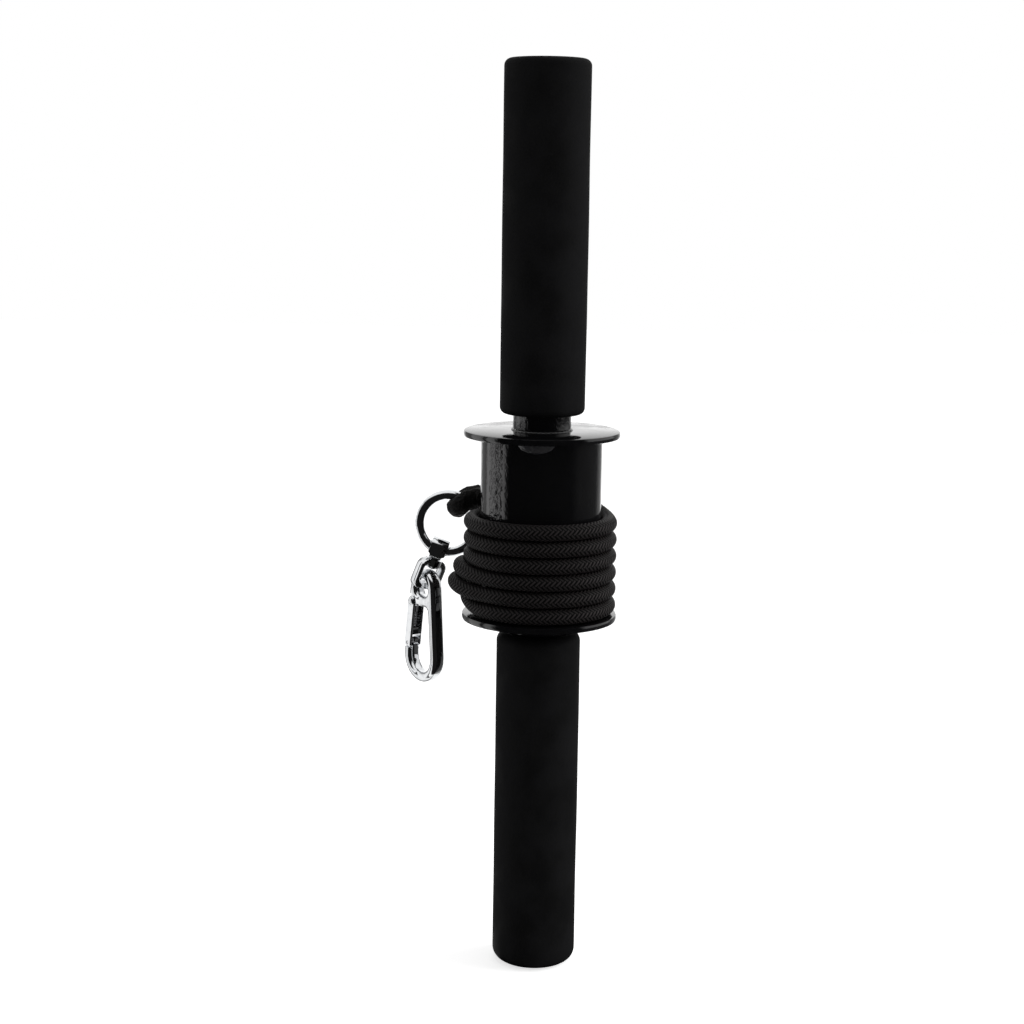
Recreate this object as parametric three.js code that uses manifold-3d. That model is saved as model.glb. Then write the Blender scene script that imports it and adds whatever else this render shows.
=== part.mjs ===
// Wrist roller: a steel tube with a welded spool, two foam grips, and a wound rope that ends in a
// split ring, a swivel and a spring snap. Millimetres, +Z up the tube, origin under the lower grip.
import * as THREE from "three";
import { mergeVertices } from "three/addons/utils/BufferGeometryUtils.js";
import Module from "manifold-3d";

const wasm = await Module();
wasm.setup();

// Clearances
const slipGap = 0.3; // between two pieces that slide over, or seat on, each other
const overrun = 1; // how far a cut runs past the face it opens

// Handle tube and its plugs
const tubeDiameter = 25.4;
const tubeWall = 2;
const plugHead = 2;
const plugDepth = 12;
const plugWall = 2.2;

// Foam grips
const gripLength = 152;
const gripWall = 5.6;
const gripEndWall = 6;
const gripCorner = 4.6;
const gripMouth = 1.2; // chamfer where the bore meets the inner end

// Spool
const neckLength = 6; // bare tube between a grip and its flange
const spoolLength = 84; // over both flanges
const flangeDiameter = 68.5;
const flangeThickness = 3;
const flangeEdge = 1;
const drumDiameter = 53.1;
const drumWall = 2;
const neckWeldLeg = 1.7;
const neckWeldRipple = 0.25;
const neckWeldRipples = 16;
const neckWeldFaceShare = 0.62; // middle of the bead's face, out and up, of its leg
const tackLength = 16;
const tackHeight = 3.8;
const tackProud = 1.7;
const tackEndShare = 0.12; // its least section, of the full one
const tackOutShares = [0, 1, 0.9, 0.55, 0]; // the bead's section, from flange to drum
const tackDownShares = [0, 0, 0.45, 0.85, 1];

// Rope
const ropeDiameter = 6.8;
const turnPitch = 7.3;
const turnCount = 6; // turns that show across the front
const firstTurnRise = 4; // centre of the lowest turn above the flange
const holeAngle = 162; // degrees from +X, seen from above
const holeRise = 7.5; // rope hole's centre above the flange
const holeClearance = 0.5;
const leadBend = 5.6; // bend of the rope's centreline outside its hole
const stopRoom = 2.9; // between the stop on the rope's inner end and the tube
const leadInsetShare = 0.22; // where its bend starts inside the drum's face, of the rope's radius
const leadLevelAngle = 46; // degrees in which the rope comes down to the lowest turn
const humpAngle = 176; // where the turns climb over the rope's lead-in
const humpHalfAngle = 52;
const tailRise = 8; // how far the rope climbs behind the drum before it leaves
const stopDiameter = 10.6;
const stopFloor = 1.3;

// Rope eye and its sleeve
const eyeThickness = 4.8; // the rope is squeezed flat where it goes round the ring
const eyeWidth = 8.4;
const eyeLean = 53; // degrees above level, from the ring towards the sleeve
const eyeBend = 4.75; // centreline of the bight
const eyeSag = 0.4;
const sleeveWall = 0.7;
const sleeveLength = 10.6;
const sleeveReach = 27.2; // left end of the sleeve, from the tube's axis
const sleeveHeightOverTurns = 7.4; // sleeve's centre line above the top turn's centre
const sleeveClimb = 1.4; // rise along the sleeve's length
const legSpacing = 6.9; // between the two ropes in the sleeve
const eyeLegRun = 3.2; // how far the legs run on before they close up

// Split ring
const ringOuterDiameter = 30.4;
const ringWidth = 3.9;
const coilThickness = 1.65;
const coilGap = 0.3;
const coilChamfer = 0.55;
const coilOuterChamfer = 1.15; // across the wire, where its outer edge is rolled round
const coilOuterDrop = 0.7; // and down its side
const joggleAngle = 34; // degrees in which the wire changes layer
const coilEndGap = 5; // degrees
const coilEndAngle = 186; // degrees from +X
const ringOut = 41.8; // ring's centre, to the left of the tube's axis
const ringBack = 29; // and behind it
const ringDrop = 6.7; // and below the top turn's centre
const eyeOnRing = 56; // degrees from +X, where the rope goes round the ring
const swivelOnRing = 249; // degrees from +X, where the swivel hangs

// Swivel
const swivelEyeThickness = 8;
const swivelEyeTopBar = 2.6;
const swivelEyeSideBar = 1.4;
const swivelEyeFoot = 0.9;
const swivelEyeArchShare = 0.95; // of the eye's half width
const swivelNeckWidth = 5.2; // where the eye narrows under the ring
const swivelNeckShoulder = 1.1; // height of the slope from the eye to its neck
const swivelNeckDrop = 1.5; // top of the slope, below the ring wire's middle
const swivelEyeBevel = 0.38;
const eyeRoom = 0.8; // round the ring's wire, so that the swivel can tip on it
const ringSag = 0.6; // how far the ring curves away inside the swivel's eye
const collarDiameter = 5.8;
const collarThickness = 0.4;
const shankDiameter = 4.2;
const rivetHeadDiameter = 7.4;
const rivetHeadThickness = 1.5;
const bowTurn = 36; // degrees about the shank
const bowInnerWidth = 9.8;
const bowLeg = 2.1;
const bowDepth = 5;
const bowCrown = 3;
const bowBar = 3;
const bowBevel = 0.9;
const bowShoulder = 4.4;
const bowCorner = 2.6;
const bowWindowCorner = 2;
const bowBoss = 8;
const swivelRoom = 8.35; // from the rivet's head to the middle of the bow's bar
const hookAlongBar = 1.3; // where the snap sits along the bow's bar

// Spring snap
const snapTurn = 50; // degrees about the vertical
const snapThickness = 6.4;
const snapBevel = 1.9;
const barWidth = 4.6;
const snapLength = 53.4;
const crownReach = 7.9; // from the bow's bar to the top of the crown
const crownRadius = 8.75;
const noseRadius = 12.1;
const noseOffset = 1.1; // the wide end's middle, towards the gate
const eyeWindowDepth = 8.4; // from the inside of the crown to the bridge
const bridgeDepth = 4.8;
const windowCorner = 3.4;
const openingCorner = 2.6;
const webThickness = 3.2;
const pivotDrop = 3.2; // gate's pivot below the top of the bridge
const pivotInset = 2.5; // from the outside of the gate
const pivotDiameter = 2.2;
const pivotClearance = 0.2;
const pivotHeadDiameter = 3.6;
const pivotHeadHeight = 0.6;
const lugRadius = 2.2;
const gateLength = 22.2; // from the pivot to the tip
const gateWidth = 4.8;
const gateWall = 0.9;
const gateBackStart = 2.9; // from the pivot to where the channel's back begins
const gateBackEnd = 17.7;
const gateBevel = 0.45;
const tongueTop = 18.2; // from the pivot
const latchPinDiameter = 1.4;
const latchPinPlace = 20.4;
const plungerDiameter = 2.6;
const plungerHead = 2.6;
const plungerStem = 1.4;
const plungerStemLength = 2.6;
const springDiameter = 2.5;
const springWire = 0.44;
const springLength = 7.4;
const springCurls = 8;
const springTab = 0.9;
const panelDepth = 0.6;
const panelWidth = 3.4;
const panelStart = 13.6; // below the bow's bar
const panelLength = 17;

// Worked out from the sizes above
const tubeRadius = tubeDiameter / 2;
const boreRadius = tubeRadius + slipGap;
const gripRadius = boreRadius + gripWall;
const flangeRadius = flangeDiameter / 2;
const drumRadius = drumDiameter / 2;
const ropeRadius = ropeDiameter / 2;
const overallLength = 2 * (gripLength + neckLength) + spoolLength;
const spoolBottom = gripLength + neckLength;
const spoolTop = spoolBottom + spoolLength;
const windFloor = spoolBottom + flangeThickness;
const windRadius = drumRadius + slipGap + ropeRadius;
const lowestTurn = windFloor + firstTurnRise;
const topTurn = lowestTurn + (turnCount - 1) * turnPitch;
const ringRadius = (ringOuterDiameter - ringWidth) / 2;
const ringDepth = 2 * coilThickness + coilGap;
const degrees = Math.PI / 180;

const blackPaint = { color: 0x0a0a0b, roughness: 0.25, metalness: 0.1 };
const blackFoam = { color: 0x0d0d0d, roughness: 0.92, metalness: 0 };
const blackPlastic = { color: 0x101010, roughness: 0.6, metalness: 0 };
const blackRope = { color: 0x100f0f, roughness: 0.85, metalness: 0 };
const chrome = { color: 0xd4d6d8, roughness: 0.1, metalness: 1 };
const zincSteel = { color: 0x9a9c9e, roughness: 0.35, metalness: 1 };

function piece(name, geometry, finish) {
  const mesh = new THREE.Mesh(geometry, new THREE.MeshStandardMaterial(finish));
  mesh.name = name;
  return mesh;
}

// Closed solids for joining and cutting
function solidOf(geometry) {
  const bare = geometry.index ? geometry.toNonIndexed() : geometry.clone();
  bare.deleteAttribute("normal");
  bare.deleteAttribute("uv");
  const merged = mergeVertices(bare);
  return new wasm.Manifold(
    new wasm.Mesh({
      numProp: 3,
      vertProperties: merged.attributes.position.array,
      triVerts: new Uint32Array(merged.index.array),
    }),
  );
}

function geometryOf(solid) {
  const mesh = solid.getMesh();
  const geometry = new THREE.BufferGeometry();
  geometry.setAttribute("position", new THREE.BufferAttribute(mesh.vertProperties, 3));
  geometry.setIndex(new THREE.BufferAttribute(mesh.triVerts, 1));
  geometry.computeVertexNormals();
  return geometry;
}

function cut(geometry, ...cutters) {
  let solid = solidOf(geometry);
  for (const cutter of cutters) solid = solid.subtract(solidOf(cutter));
  return geometryOf(solid);
}

function join(...geometries) {
  let solid = solidOf(geometries[0]);
  for (const geometry of geometries.slice(1)) solid = solid.add(solidOf(geometry));
  return geometryOf(solid);
}

// Profiles and outlines
function arc(x, y, radius, from, to, steps) {
  const points = [];
  for (let i = 0; i <= steps; i++) {
    const angle = (from + ((to - from) * i) / steps) * degrees;
    points.push(new THREE.Vector2(x + radius * Math.cos(angle), y + radius * Math.sin(angle)));
  }
  return points;
}

function at(x, y) {
  return new THREE.Vector2(x, y);
}

// A profile of radius and height, turned about +Z. It runs up the outside, and down any bore.
function turned(profile, segments) {
  return new THREE.LatheGeometry(profile, segments).rotateX(Math.PI / 2);
}

function rod(diameter, length, segments) {
  return new THREE.CylinderGeometry(diameter / 2, diameter / 2, length, segments);
}

// Half the profile of a domed head, from the top of its dome to its rim
const domeOutShares = [0, 0.5, 0.84, 1];
const domeUpShares = [0, 0.12, 0.5, 1];

function dome(radius, crown, rim) {
  return domeOutShares.map((out, i) => at(radius * out, crown + (rim - crown) * domeUpShares[i]));
}

// A flat outline in X and Z, thick along Y about the middle, with rounded edges
function plate(outline, holes, thickness, bevel, bevelSteps) {
  const shape = new THREE.Shape(outline);
  for (const hole of holes) shape.holes.push(new THREE.Path(hole));
  const geometry = new THREE.ExtrudeGeometry(shape, {
    depth: thickness - 2 * bevel,
    bevelEnabled: bevel > 0,
    bevelThickness: bevel,
    bevelSize: bevel,
    bevelOffset: -bevel,
    bevelSegments: bevelSteps,
  });
  return geometry.translate(0, 0, bevel - thickness / 2).rotateX(Math.PI / 2);
}

function block(x0, x1, y0, y1, z0, z1) {
  const geometry = new THREE.BoxGeometry(x1 - x0, y1 - y0, z1 - z0);
  return geometry.translate((x0 + x1) / 2, (y0 + y1) / 2, (z0 + z1) / 2);
}

// A skin over rings of points, closed at both ends or into a loop
function skin(rings, looped) {
  const sides = rings[0].length;
  const points = rings.flat();
  const index = [];
  const spans = looped ? rings.length : rings.length - 1;
  for (let i = 0; i < spans; i++) {
    const a = i * sides;
    const b = ((i + 1) % rings.length) * sides;
    for (let j = 0; j < sides; j++) {
      const k = (j + 1) % sides;
      index.push(a + j, a + k, b + k, a + j, b + k, b + j);
    }
  }
  if (!looped) {
    const last = (rings.length - 1) * sides;
    for (let j = 1; j < sides - 1; j++) {
      index.push(0, j + 1, j);
      index.push(last, last + j, last + j + 1);
    }
  }
  const geometry = new THREE.BufferGeometry();
  const places = new Float32Array(points.flatMap((p) => [p.x, p.y, p.z]));
  geometry.setAttribute("position", new THREE.BufferAttribute(places, 3));
  geometry.setIndex(index);
  geometry.computeVertexNormals();
  return geometry;
}

// A tube through a list of points: its section keeps one side towards the way it started
function tubeThrough(points, halfWidth, halfThickness, sides, across) {
  const rings = [];
  let side = across.clone();
  for (let i = 0; i < points.length; i++) {
    const before = points[Math.max(i - 1, 0)];
    const after = points[Math.min(i + 1, points.length - 1)];
    const along = after.clone().sub(before).normalize();
    side = side.clone().addScaledVector(along, -side.dot(along)).normalize();
    const up = new THREE.Vector3().crossVectors(along, side);
    const ring = [];
    for (let j = 0; j < sides; j++) {
      const angle = (2 * Math.PI * j) / sides;
      ring.push(
        points[i]
          .clone()
          .addScaledVector(side, halfWidth * Math.cos(angle))
          .addScaledVector(up, halfThickness * Math.sin(angle)),
      );
    }
    rings.push(ring);
  }
  return skin(rings, false);
}

// Handle tube
function makeTube() {
  const inner = tubeRadius - tubeWall;
  const bottom = gripEndWall + slipGap + plugHead + slipGap;
  const top = overallLength - bottom;
  return turned(
    [at(inner, bottom), at(tubeRadius, bottom), at(tubeRadius, top), at(inner, top), at(inner, bottom)],
    48,
  );
}

// A cup-shaped plug, head at z = 0 and its skirt up inside the tube
function makePlug() {
  const skirt = tubeRadius - tubeWall - slipGap;
  const chamfer = plugWall / 2;
  return turned(
    [
      at(0, 0),
      at(tubeRadius - chamfer / 2, 0),
      at(tubeRadius, chamfer / 2),
      at(tubeRadius, plugHead),
      at(skirt, plugHead),
      at(skirt, plugDepth - chamfer),
      at(skirt - chamfer / 2, plugDepth),
      at(skirt - plugWall, plugDepth),
      at(skirt - plugWall, plugHead),
      at(0, plugHead),
    ],
    32,
  );
}

// A closed-end foam grip, its closed end at z = 0
function makeGrip() {
  return turned(
    [
      at(0, 0),
      ...arc(gripRadius - gripCorner, gripCorner, gripCorner, -90, 0, 4),
      ...arc(gripRadius - gripCorner, gripLength - gripCorner, gripCorner, 0, 90, 4),
      at(boreRadius + gripMouth, gripLength),
      at(boreRadius, gripLength - gripMouth),
      at(boreRadius, gripEndWall),
      at(0, gripEndWall),
    ],
    56,
  );
}

function makeFlange(bottom) {
  const edge = flangeRadius - flangeEdge;
  return turned(
    [
      at(boreRadius, bottom),
      ...arc(edge, bottom + flangeEdge, flangeEdge, -90, 0, 2),
      ...arc(edge, bottom + flangeThickness - flangeEdge, flangeEdge, 0, 90, 2),
      at(boreRadius, bottom + flangeThickness),
      at(boreRadius, bottom),
    ],
    64,
  );
}

// Drum shell, with the hole that the rope comes out of
function makeDrum() {
  const bottom = windFloor + slipGap;
  const top = spoolTop - flangeThickness - slipGap;
  const inner = drumRadius - drumWall;
  const shell = turned(
    [at(inner, bottom), at(drumRadius, bottom), at(drumRadius, top), at(inner, top), at(inner, bottom)],
    64,
  );
  const drill = rod(ropeDiameter + 2 * holeClearance, drumWall + 2 * ropeRadius, 20)
    .rotateZ(Math.PI / 2)
    .translate(drumRadius - drumWall / 2, 0, windFloor + holeRise)
    .rotateZ(holeAngle * degrees);
  return cut(shell, drill);
}

// A fillet weld round the neck, rippled like a hand-laid bead. up is 1 above its face and -1 below it.
function makeNeckWeld(face, up) {
  const steps = 48;
  const rings = [];
  for (let i = 0; i < steps; i++) {
    const turn = (-up * 2 * Math.PI * i) / steps;
    const leg = neckWeldLeg + neckWeldRipple * Math.cos(neckWeldRipples * turn);
    const foot = face + up * slipGap;
    const section = [
      [boreRadius, foot],
      [boreRadius + leg, foot],
      [boreRadius + leg * neckWeldFaceShare, foot + up * leg * neckWeldFaceShare],
      [boreRadius, foot + up * leg],
    ];
    rings.push(
      section.map(([r, z]) => new THREE.Vector3(r * Math.cos(turn), r * Math.sin(turn), z)),
    );
  }
  return skin(rings, true);
}

// One short weld bead in the corner of drum and flange. It swells in the middle and dies out.
function makeTack(angle, face, up) {
  const steps = 10;
  const spread = tackLength / drumRadius;
  const rings = [];
  for (let i = 0; i <= steps; i++) {
    const place = (2 * i) / steps - 1;
    const turn = angle * degrees + (up * spread * place) / 2;
    const swell = Math.max(Math.sqrt(1 - place * place), tackEndShare);
    const high = tackHeight * swell;
    const out = tackProud * swell;
    const inner = drumRadius + slipGap;
    const seat = face - up * slipGap;
    rings.push(
      tackOutShares.map((share, j) => {
        const r = inner + out * share;
        const z = seat - up * high * tackDownShares[j];
        return new THREE.Vector3(r * Math.cos(turn), r * Math.sin(turn), z);
      }),
    );
  }
  return skin(rings, false);
}

// Rope path. turn counts degrees about +Z from +X; a turn crosses the front level and climbs behind.
function smooth(t) {
  const x = Math.min(Math.max(t, 0), 1);
  return x * x * (3 - 2 * x);
}

const leadEndAngle = holeAngle + Math.atan2(leadBend, windRadius) / degrees;
const lastTurn = turnCount * 360 + 90; // the rope leaves straight behind the drum
// How far each turn is pushed out and up where it crosses the lead-in, in rope diameters
const humpOutShares = [0, 1.02, 0.68, 0, 0, 0, 0];
const humpUpShares = [0, 0.29, 0.25, 0, 0, 0, 0];

function windingPoint(turn) {
  const half = turn / 180;
  const lap = Math.floor((half - 1) / 2);
  const inLap = turn - 180 - lap * 360; // 0 at the left, 180 at the right
  const last = lap === turnCount - 1;
  const climb = last
    ? tailRise * smooth((inLap - 180) / 90)
    : turnPitch * smooth((inLap - 180) / 180);
  let height = lowestTurn + Math.max(lap, 0) * turnPitch + (lap < 0 ? 0 : climb);
  let radius = windRadius;
  for (let k = 1; k < turnCount; k++) {
    const away = (turn - humpAngle - k * 360) / humpHalfAngle;
    if (Math.abs(away) < 1) {
      const bump = Math.cos((away * Math.PI) / 2) ** 2;
      radius += humpOutShares[k] * ropeDiameter * bump;
      height += humpUpShares[k] * ropeDiameter * bump * bump;
    }
  }
  const settle = smooth((turn - leadEndAngle) / leadLevelAngle);
  if (turn < 360) {
    height = windFloor + holeRise + (lowestTurn - windFloor - holeRise) * settle;
    radius = windRadius + (leadEndRadius - windRadius) * (1 - settle);
  }
  return new THREE.Vector3(
    radius * Math.cos(turn * degrees),
    radius * Math.sin(turn * degrees),
    height,
  );
}

const leadBendStart = drumRadius - slipGap - ropeRadius * leadInsetShare;
const leadInnerEnd = tubeRadius + stopRoom + stopFloor + slipGap; // where the rope seats in its stop
const leadEndRadius = Math.hypot(leadBendStart + leadBend, leadBend);

function windingPath(step) {
  const points = [];
  const level = windFloor + holeRise;
  const lead = (out, along) =>
    new THREE.Vector3(out, along, level).applyAxisAngle(
      new THREE.Vector3(0, 0, 1),
      holeAngle * degrees,
    );
  points.push(lead(leadInnerEnd, 0));
  const bendSteps = Math.ceil(90 / step / 1.5);
  for (let i = 0; i < bendSteps; i++) {
    const angle = ((90 * i) / bendSteps) * degrees;
    points.push(
      lead(leadBendStart + leadBend * Math.sin(angle), leadBend * (1 - Math.cos(angle))),
    );
  }
  const spans = Math.round((lastTurn - leadEndAngle) / step);
  for (let i = 0; i <= spans; i++) {
    points.push(windingPoint(leadEndAngle + ((lastTurn - leadEndAngle) * i) / spans));
  }
  const end = points[points.length - 1];
  points.push(end.clone().add(new THREE.Vector3(-ropeDiameter, 0, 0)));
  return points;
}

function makeWinding() {
  const step = 15; // degrees
  return tubeThrough(windingPath(step), ropeRadius, ropeRadius, 6, new THREE.Vector3(0, 0, 1));
}

// Least gap between the winding's turns, on fine points, leaving out the stretch beside each point
function leastSelfGap(points, diameter, skip) {
  const reach = [0];
  for (let i = 1; i < points.length; i++) {
    reach.push(reach[i - 1] + points[i].distanceTo(points[i - 1]));
  }
  let least = Infinity;
  for (let i = 0; i < points.length; i++) {
    for (let j = i + 1; j < points.length; j++) {
      if (reach[j] - reach[i] > skip) {
        least = Math.min(least, points[i].distanceTo(points[j]) - diameter);
      }
    }
  }
  return least;
}

// The stop cup on the rope's inner end, which can't pass the hole
function makeRopeStop() {
  const mouth = Math.sqrt((drumRadius - drumWall) ** 2 - (stopDiameter / 2) ** 2) - slipGap;
  const floor = tubeRadius + stopRoom;
  const depth = mouth - floor;
  const bore = ropeRadius + slipGap;
  return turned(
    [
      at(0, 0),
      at(stopDiameter / 2, 0),
      at(stopDiameter / 2, depth),
      at(bore, depth),
      at(bore, stopFloor),
      at(0, stopFloor),
    ],
    24,
  )
    .rotateY(Math.PI / 2)
    .translate(floor, 0, windFloor + holeRise)
    .rotateZ(holeAngle * degrees);
}

// Where the rope's end, the ring and the swivel lie
const ringCentre = new THREE.Vector3(-ringOut, ringBack, topTurn - ringDrop);
const onRing = (angle, radius) =>
  new THREE.Vector3(radius * Math.cos(angle * degrees), 0, radius * Math.sin(angle * degrees)).add(
    ringCentre,
  );
const eyeSeat = onRing(eyeOnRing, ringRadius);
const eyeAxis = new THREE.Vector3(Math.cos(eyeLean * degrees), 0, Math.sin(eyeLean * degrees));
const sleeveLeft = new THREE.Vector3(-sleeveReach, ringBack, topTurn + sleeveHeightOverTurns);
const sleeveAxis = new THREE.Vector3(sleeveLength, 0, sleeveClimb).normalize();
const sleeveRight = sleeveLeft.clone().addScaledVector(sleeveAxis, sleeveLength);
const backward = new THREE.Vector3(0, 1, 0);

// One leg of the eye, from the bight to the sleeve. side is 1 behind the ring and -1 before it.
function eyeLeg(side, steps) {
  const bend = eyeSeat.clone().addScaledVector(eyeAxis, -eyeSag);
  const start = bend.clone().addScaledVector(backward, side * eyeBend);
  const knee = start.clone().addScaledVector(eyeAxis, eyeLegRun);
  const end = sleeveLeft
    .clone()
    .addScaledVector(sleeveAxis, -slipGap)
    .addScaledVector(backward, (side * legSpacing) / 2);
  const before = end.clone().addScaledVector(sleeveAxis, -eyeLegRun);
  const curve = new THREE.CubicBezierCurve3(start, knee, before, end);
  return curve.getPoints(steps);
}

function eyePath() {
  const bend = eyeSeat.clone().addScaledVector(eyeAxis, -eyeSag);
  const bight = [];
  for (let i = 1; i < 10; i++) {
    const angle = Math.PI / 2 + (Math.PI * i) / 10;
    bight.push(
      bend
        .clone()
        .addScaledVector(eyeAxis, eyeBend * Math.cos(angle))
        .addScaledVector(backward, eyeBend * Math.sin(angle)),
    );
  }
  return [...eyeLeg(1, 6).reverse(), ...bight, ...eyeLeg(-1, 6)];
}

function makeRopeEye() {
  const across = new THREE.Vector3(-eyeAxis.z, 0, eyeAxis.x);
  return tubeThrough(eyePath(), eyeWidth / 2, eyeThickness / 2, 12, across);
}

// Free rope from the winding to the sleeve
function makeRopeTail() {
  const leave = windingPoint(lastTurn).add(new THREE.Vector3(-ropeDiameter - slipGap, 0, 0));
  const reach = sleeveRight
    .clone()
    .addScaledVector(sleeveAxis, slipGap)
    .addScaledVector(backward, legSpacing / 2);
  const run = leave.distanceTo(reach) / 3;
  const path = new THREE.CubicBezierCurve3(
    leave,
    leave.clone().add(new THREE.Vector3(-run, 0, 0)),
    reach.clone().addScaledVector(sleeveAxis, run),
    reach,
  );
  const section = new THREE.Shape(arc(0, 0, ropeRadius, 0, 330, 11));
  return new THREE.ExtrudeGeometry(section, { steps: 4, extrudePath: path });
}

// The sewn and shrunk sleeve that holds the rope's end beside the rope
function makeSleeve() {
  const half = legSpacing / 2;
  const radius = ropeRadius + sleeveWall;
  const outline = [...arc(half, 0, radius, -90, 90, 8), ...arc(-half, 0, radius, 90, 270, 8)];
  const shape = new THREE.Shape(outline);
  const bevel = sleeveWall;
  const geometry = new THREE.ExtrudeGeometry(shape, {
    depth: sleeveLength - 2 * bevel,
    bevelThickness: bevel,
    bevelSize: bevel,
    bevelOffset: -bevel,
    bevelSegments: 2,
  });
  geometry.translate(0, 0, bevel);
  const basis = new THREE.Matrix4().makeBasis(
    backward,
    new THREE.Vector3().crossVectors(sleeveAxis, backward),
    sleeveAxis,
  );
  return geometry.applyMatrix4(basis.setPosition(sleeveLeft));
}

// Split ring: one flat wire wound twice round, which changes layer in a short joggle
function makeSplitRing() {
  const layer = (coilThickness + coilGap) / 2;
  const turns = 720 - joggleAngle - coilEndGap;
  const steps = 72;
  const half = ringWidth / 2;
  const flat = coilThickness / 2;
  const section = [
    [half, -flat + coilOuterDrop],
    [half, flat - coilOuterDrop],
    [half - coilOuterChamfer, flat],
    [-half + coilChamfer, flat],
    [-half, flat - coilChamfer],
    [-half, -flat + coilChamfer],
    [-half + coilChamfer, -flat],
    [half - coilOuterChamfer, -flat],
  ];
  const rings = [];
  for (let i = 0; i <= steps; i++) {
    const turn = (turns * i) / steps;
    const shift = layer * (2 * smooth((turn - 360 + joggleAngle) / joggleAngle) - 1);
    const angle = (coilEndAngle + joggleAngle + coilEndGap + turn) * degrees;
    rings.push(
      section.map(([out, up]) => {
        const radius = ringRadius + out;
        return new THREE.Vector3(radius * Math.cos(angle), up - shift, radius * Math.sin(angle));
      }),
    );
  }
  return skin(rings, false);
}

// Swivel. Its own frame has the ring's wire through the origin along X, and the shank down -Z.
const eyeHoleHalfWidth = ringDepth / 2 + eyeRoom;
const eyeHoleTop = ringWidth / 2 + eyeRoom / 2 + ringSag;
const eyeHoleBottom = -ringWidth / 2 - eyeRoom;
const footBottom = eyeHoleBottom - swivelEyeFoot;
const collarBottom = footBottom - collarThickness;
const crownTop = collarBottom - slipGap;
const crownBottom = crownTop - bowCrown;
const rivetTop = crownBottom - slipGap;
const rivetBottom = rivetTop - rivetHeadThickness;
const barCentre = rivetBottom - swivelRoom;

function roundedOutline(x0, x1, z0, z1, bottomRadius, topRadius, steps) {
  return [
    ...arc(x1 - bottomRadius, z0 + bottomRadius, bottomRadius, -90, 0, steps),
    ...arc(x1 - topRadius, z1 - topRadius, topRadius, 0, 90, steps),
    ...arc(x0 + topRadius, z1 - topRadius, topRadius, 90, 180, steps),
    ...arc(x0 + bottomRadius, z0 + bottomRadius, bottomRadius, 180, 270, steps),
  ];
}

function makeSwivelEye() {
  const outer = eyeHoleHalfWidth + swivelEyeSideBar;
  const holeCorner = eyeHoleHalfWidth / 4;
  const top = eyeHoleTop + swivelEyeTopBar;
  const eye = plate(
    roundedOutline(-outer, outer, footBottom, top, outer / 3, outer * swivelEyeArchShare, 6),
    [
      roundedOutline(
        -eyeHoleHalfWidth,
        eyeHoleHalfWidth,
        eyeHoleBottom,
        eyeHoleTop,
        holeCorner,
        holeCorner,
        3,
      ).reverse(),
    ],
    swivelEyeThickness,
    swivelEyeBevel,
    2,
  ).rotateZ(Math.PI / 2);
  const neck = swivelNeckWidth / 2;
  const wide = swivelEyeThickness / 2 + overrun;
  const besideNeck = [
    at(neck, footBottom - overrun),
    at(wide, footBottom - overrun),
    at(wide, -swivelNeckDrop),
    at(swivelEyeThickness / 2, -swivelNeckDrop),
    at(neck, -swivelNeckDrop - swivelNeckShoulder),
  ];
  const right = plate(besideNeck, [], 2 * (outer + overrun), 0, 0);
  const left = right.clone().rotateZ(Math.PI);
  const shank = turned(
    [
      ...dome(rivetHeadDiameter / 2, rivetBottom, rivetTop),
      at(shankDiameter / 2, rivetTop),
      at(shankDiameter / 2, collarBottom),
      at(collarDiameter / 2, collarBottom),
      at(collarDiameter / 2, footBottom + swivelEyeFoot / 2),
      at(0, footBottom + swivelEyeFoot / 2),
    ],
    28,
  );
  return join(cut(eye, right, left), shank);
}

function makeSwivelBow() {
  const inner = bowInnerWidth / 2;
  const outer = inner + bowLeg;
  const bottom = barCentre - bowBar / 2;
  const stirrup = plate(
    roundedOutline(-outer, outer, bottom, crownTop, bowCorner, bowShoulder, 5),
    [
      roundedOutline(
        -inner,
        inner,
        barCentre + bowBar / 2,
        crownBottom,
        bowWindowCorner,
        bowWindowCorner,
        3,
      ).reverse(),
    ],
    bowDepth,
    bowBevel,
    2,
  );
  const boss = turned(
    [at(0, crownBottom), at(bowBoss / 2, crownBottom), at(bowBoss / 2, crownTop), at(0, crownTop)],
    24,
  );
  const bore = rod(shankDiameter + 2 * slipGap, bowCrown + 2 * overrun, 24)
    .rotateX(Math.PI / 2)
    .translate(0, 0, (crownTop + crownBottom) / 2);
  return cut(join(stirrup, boss), bore);
}

// Spring snap. Its own frame has the bow's bar at the origin, X towards the spine, Z up, Y across.
const crownMiddle = at(0, crownReach - crownRadius);
const noseMiddle = at(-noseOffset, crownReach - snapLength + noseRadius);
const windowTop = crownReach - barWidth;
const windowBottom = windowTop - eyeWindowDepth;
const openingTop = windowBottom - bridgeDepth;

// Angle of the outward normal of the straight side that joins two arcs, on the right (1) or left (-1)
function sideNormal(side) {
  const down = noseMiddle.clone().sub(crownMiddle);
  const lean = Math.acos((crownRadius - noseRadius) / down.length()) / degrees;
  return Math.atan2(down.y, down.x) / degrees + side * lean;
}

// Where the straight side of a pear, drawn inwards by inset, crosses a height
function sideAt(side, height, inset) {
  const angle = sideNormal(side) * degrees;
  const normal = at(Math.cos(angle), Math.sin(angle));
  const foot = crownMiddle.clone().addScaledVector(normal, crownRadius - inset);
  return foot.x - ((height - foot.y) * normal.y) / normal.x;
}

function pearOutline() {
  const right = sideNormal(1);
  const left = sideNormal(-1) + 360;
  return [
    ...arc(crownMiddle.x, crownMiddle.y, crownRadius, right, left, 12),
    ...arc(noseMiddle.x, noseMiddle.y, noseRadius, left, right + 360, 14),
  ];
}

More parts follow.
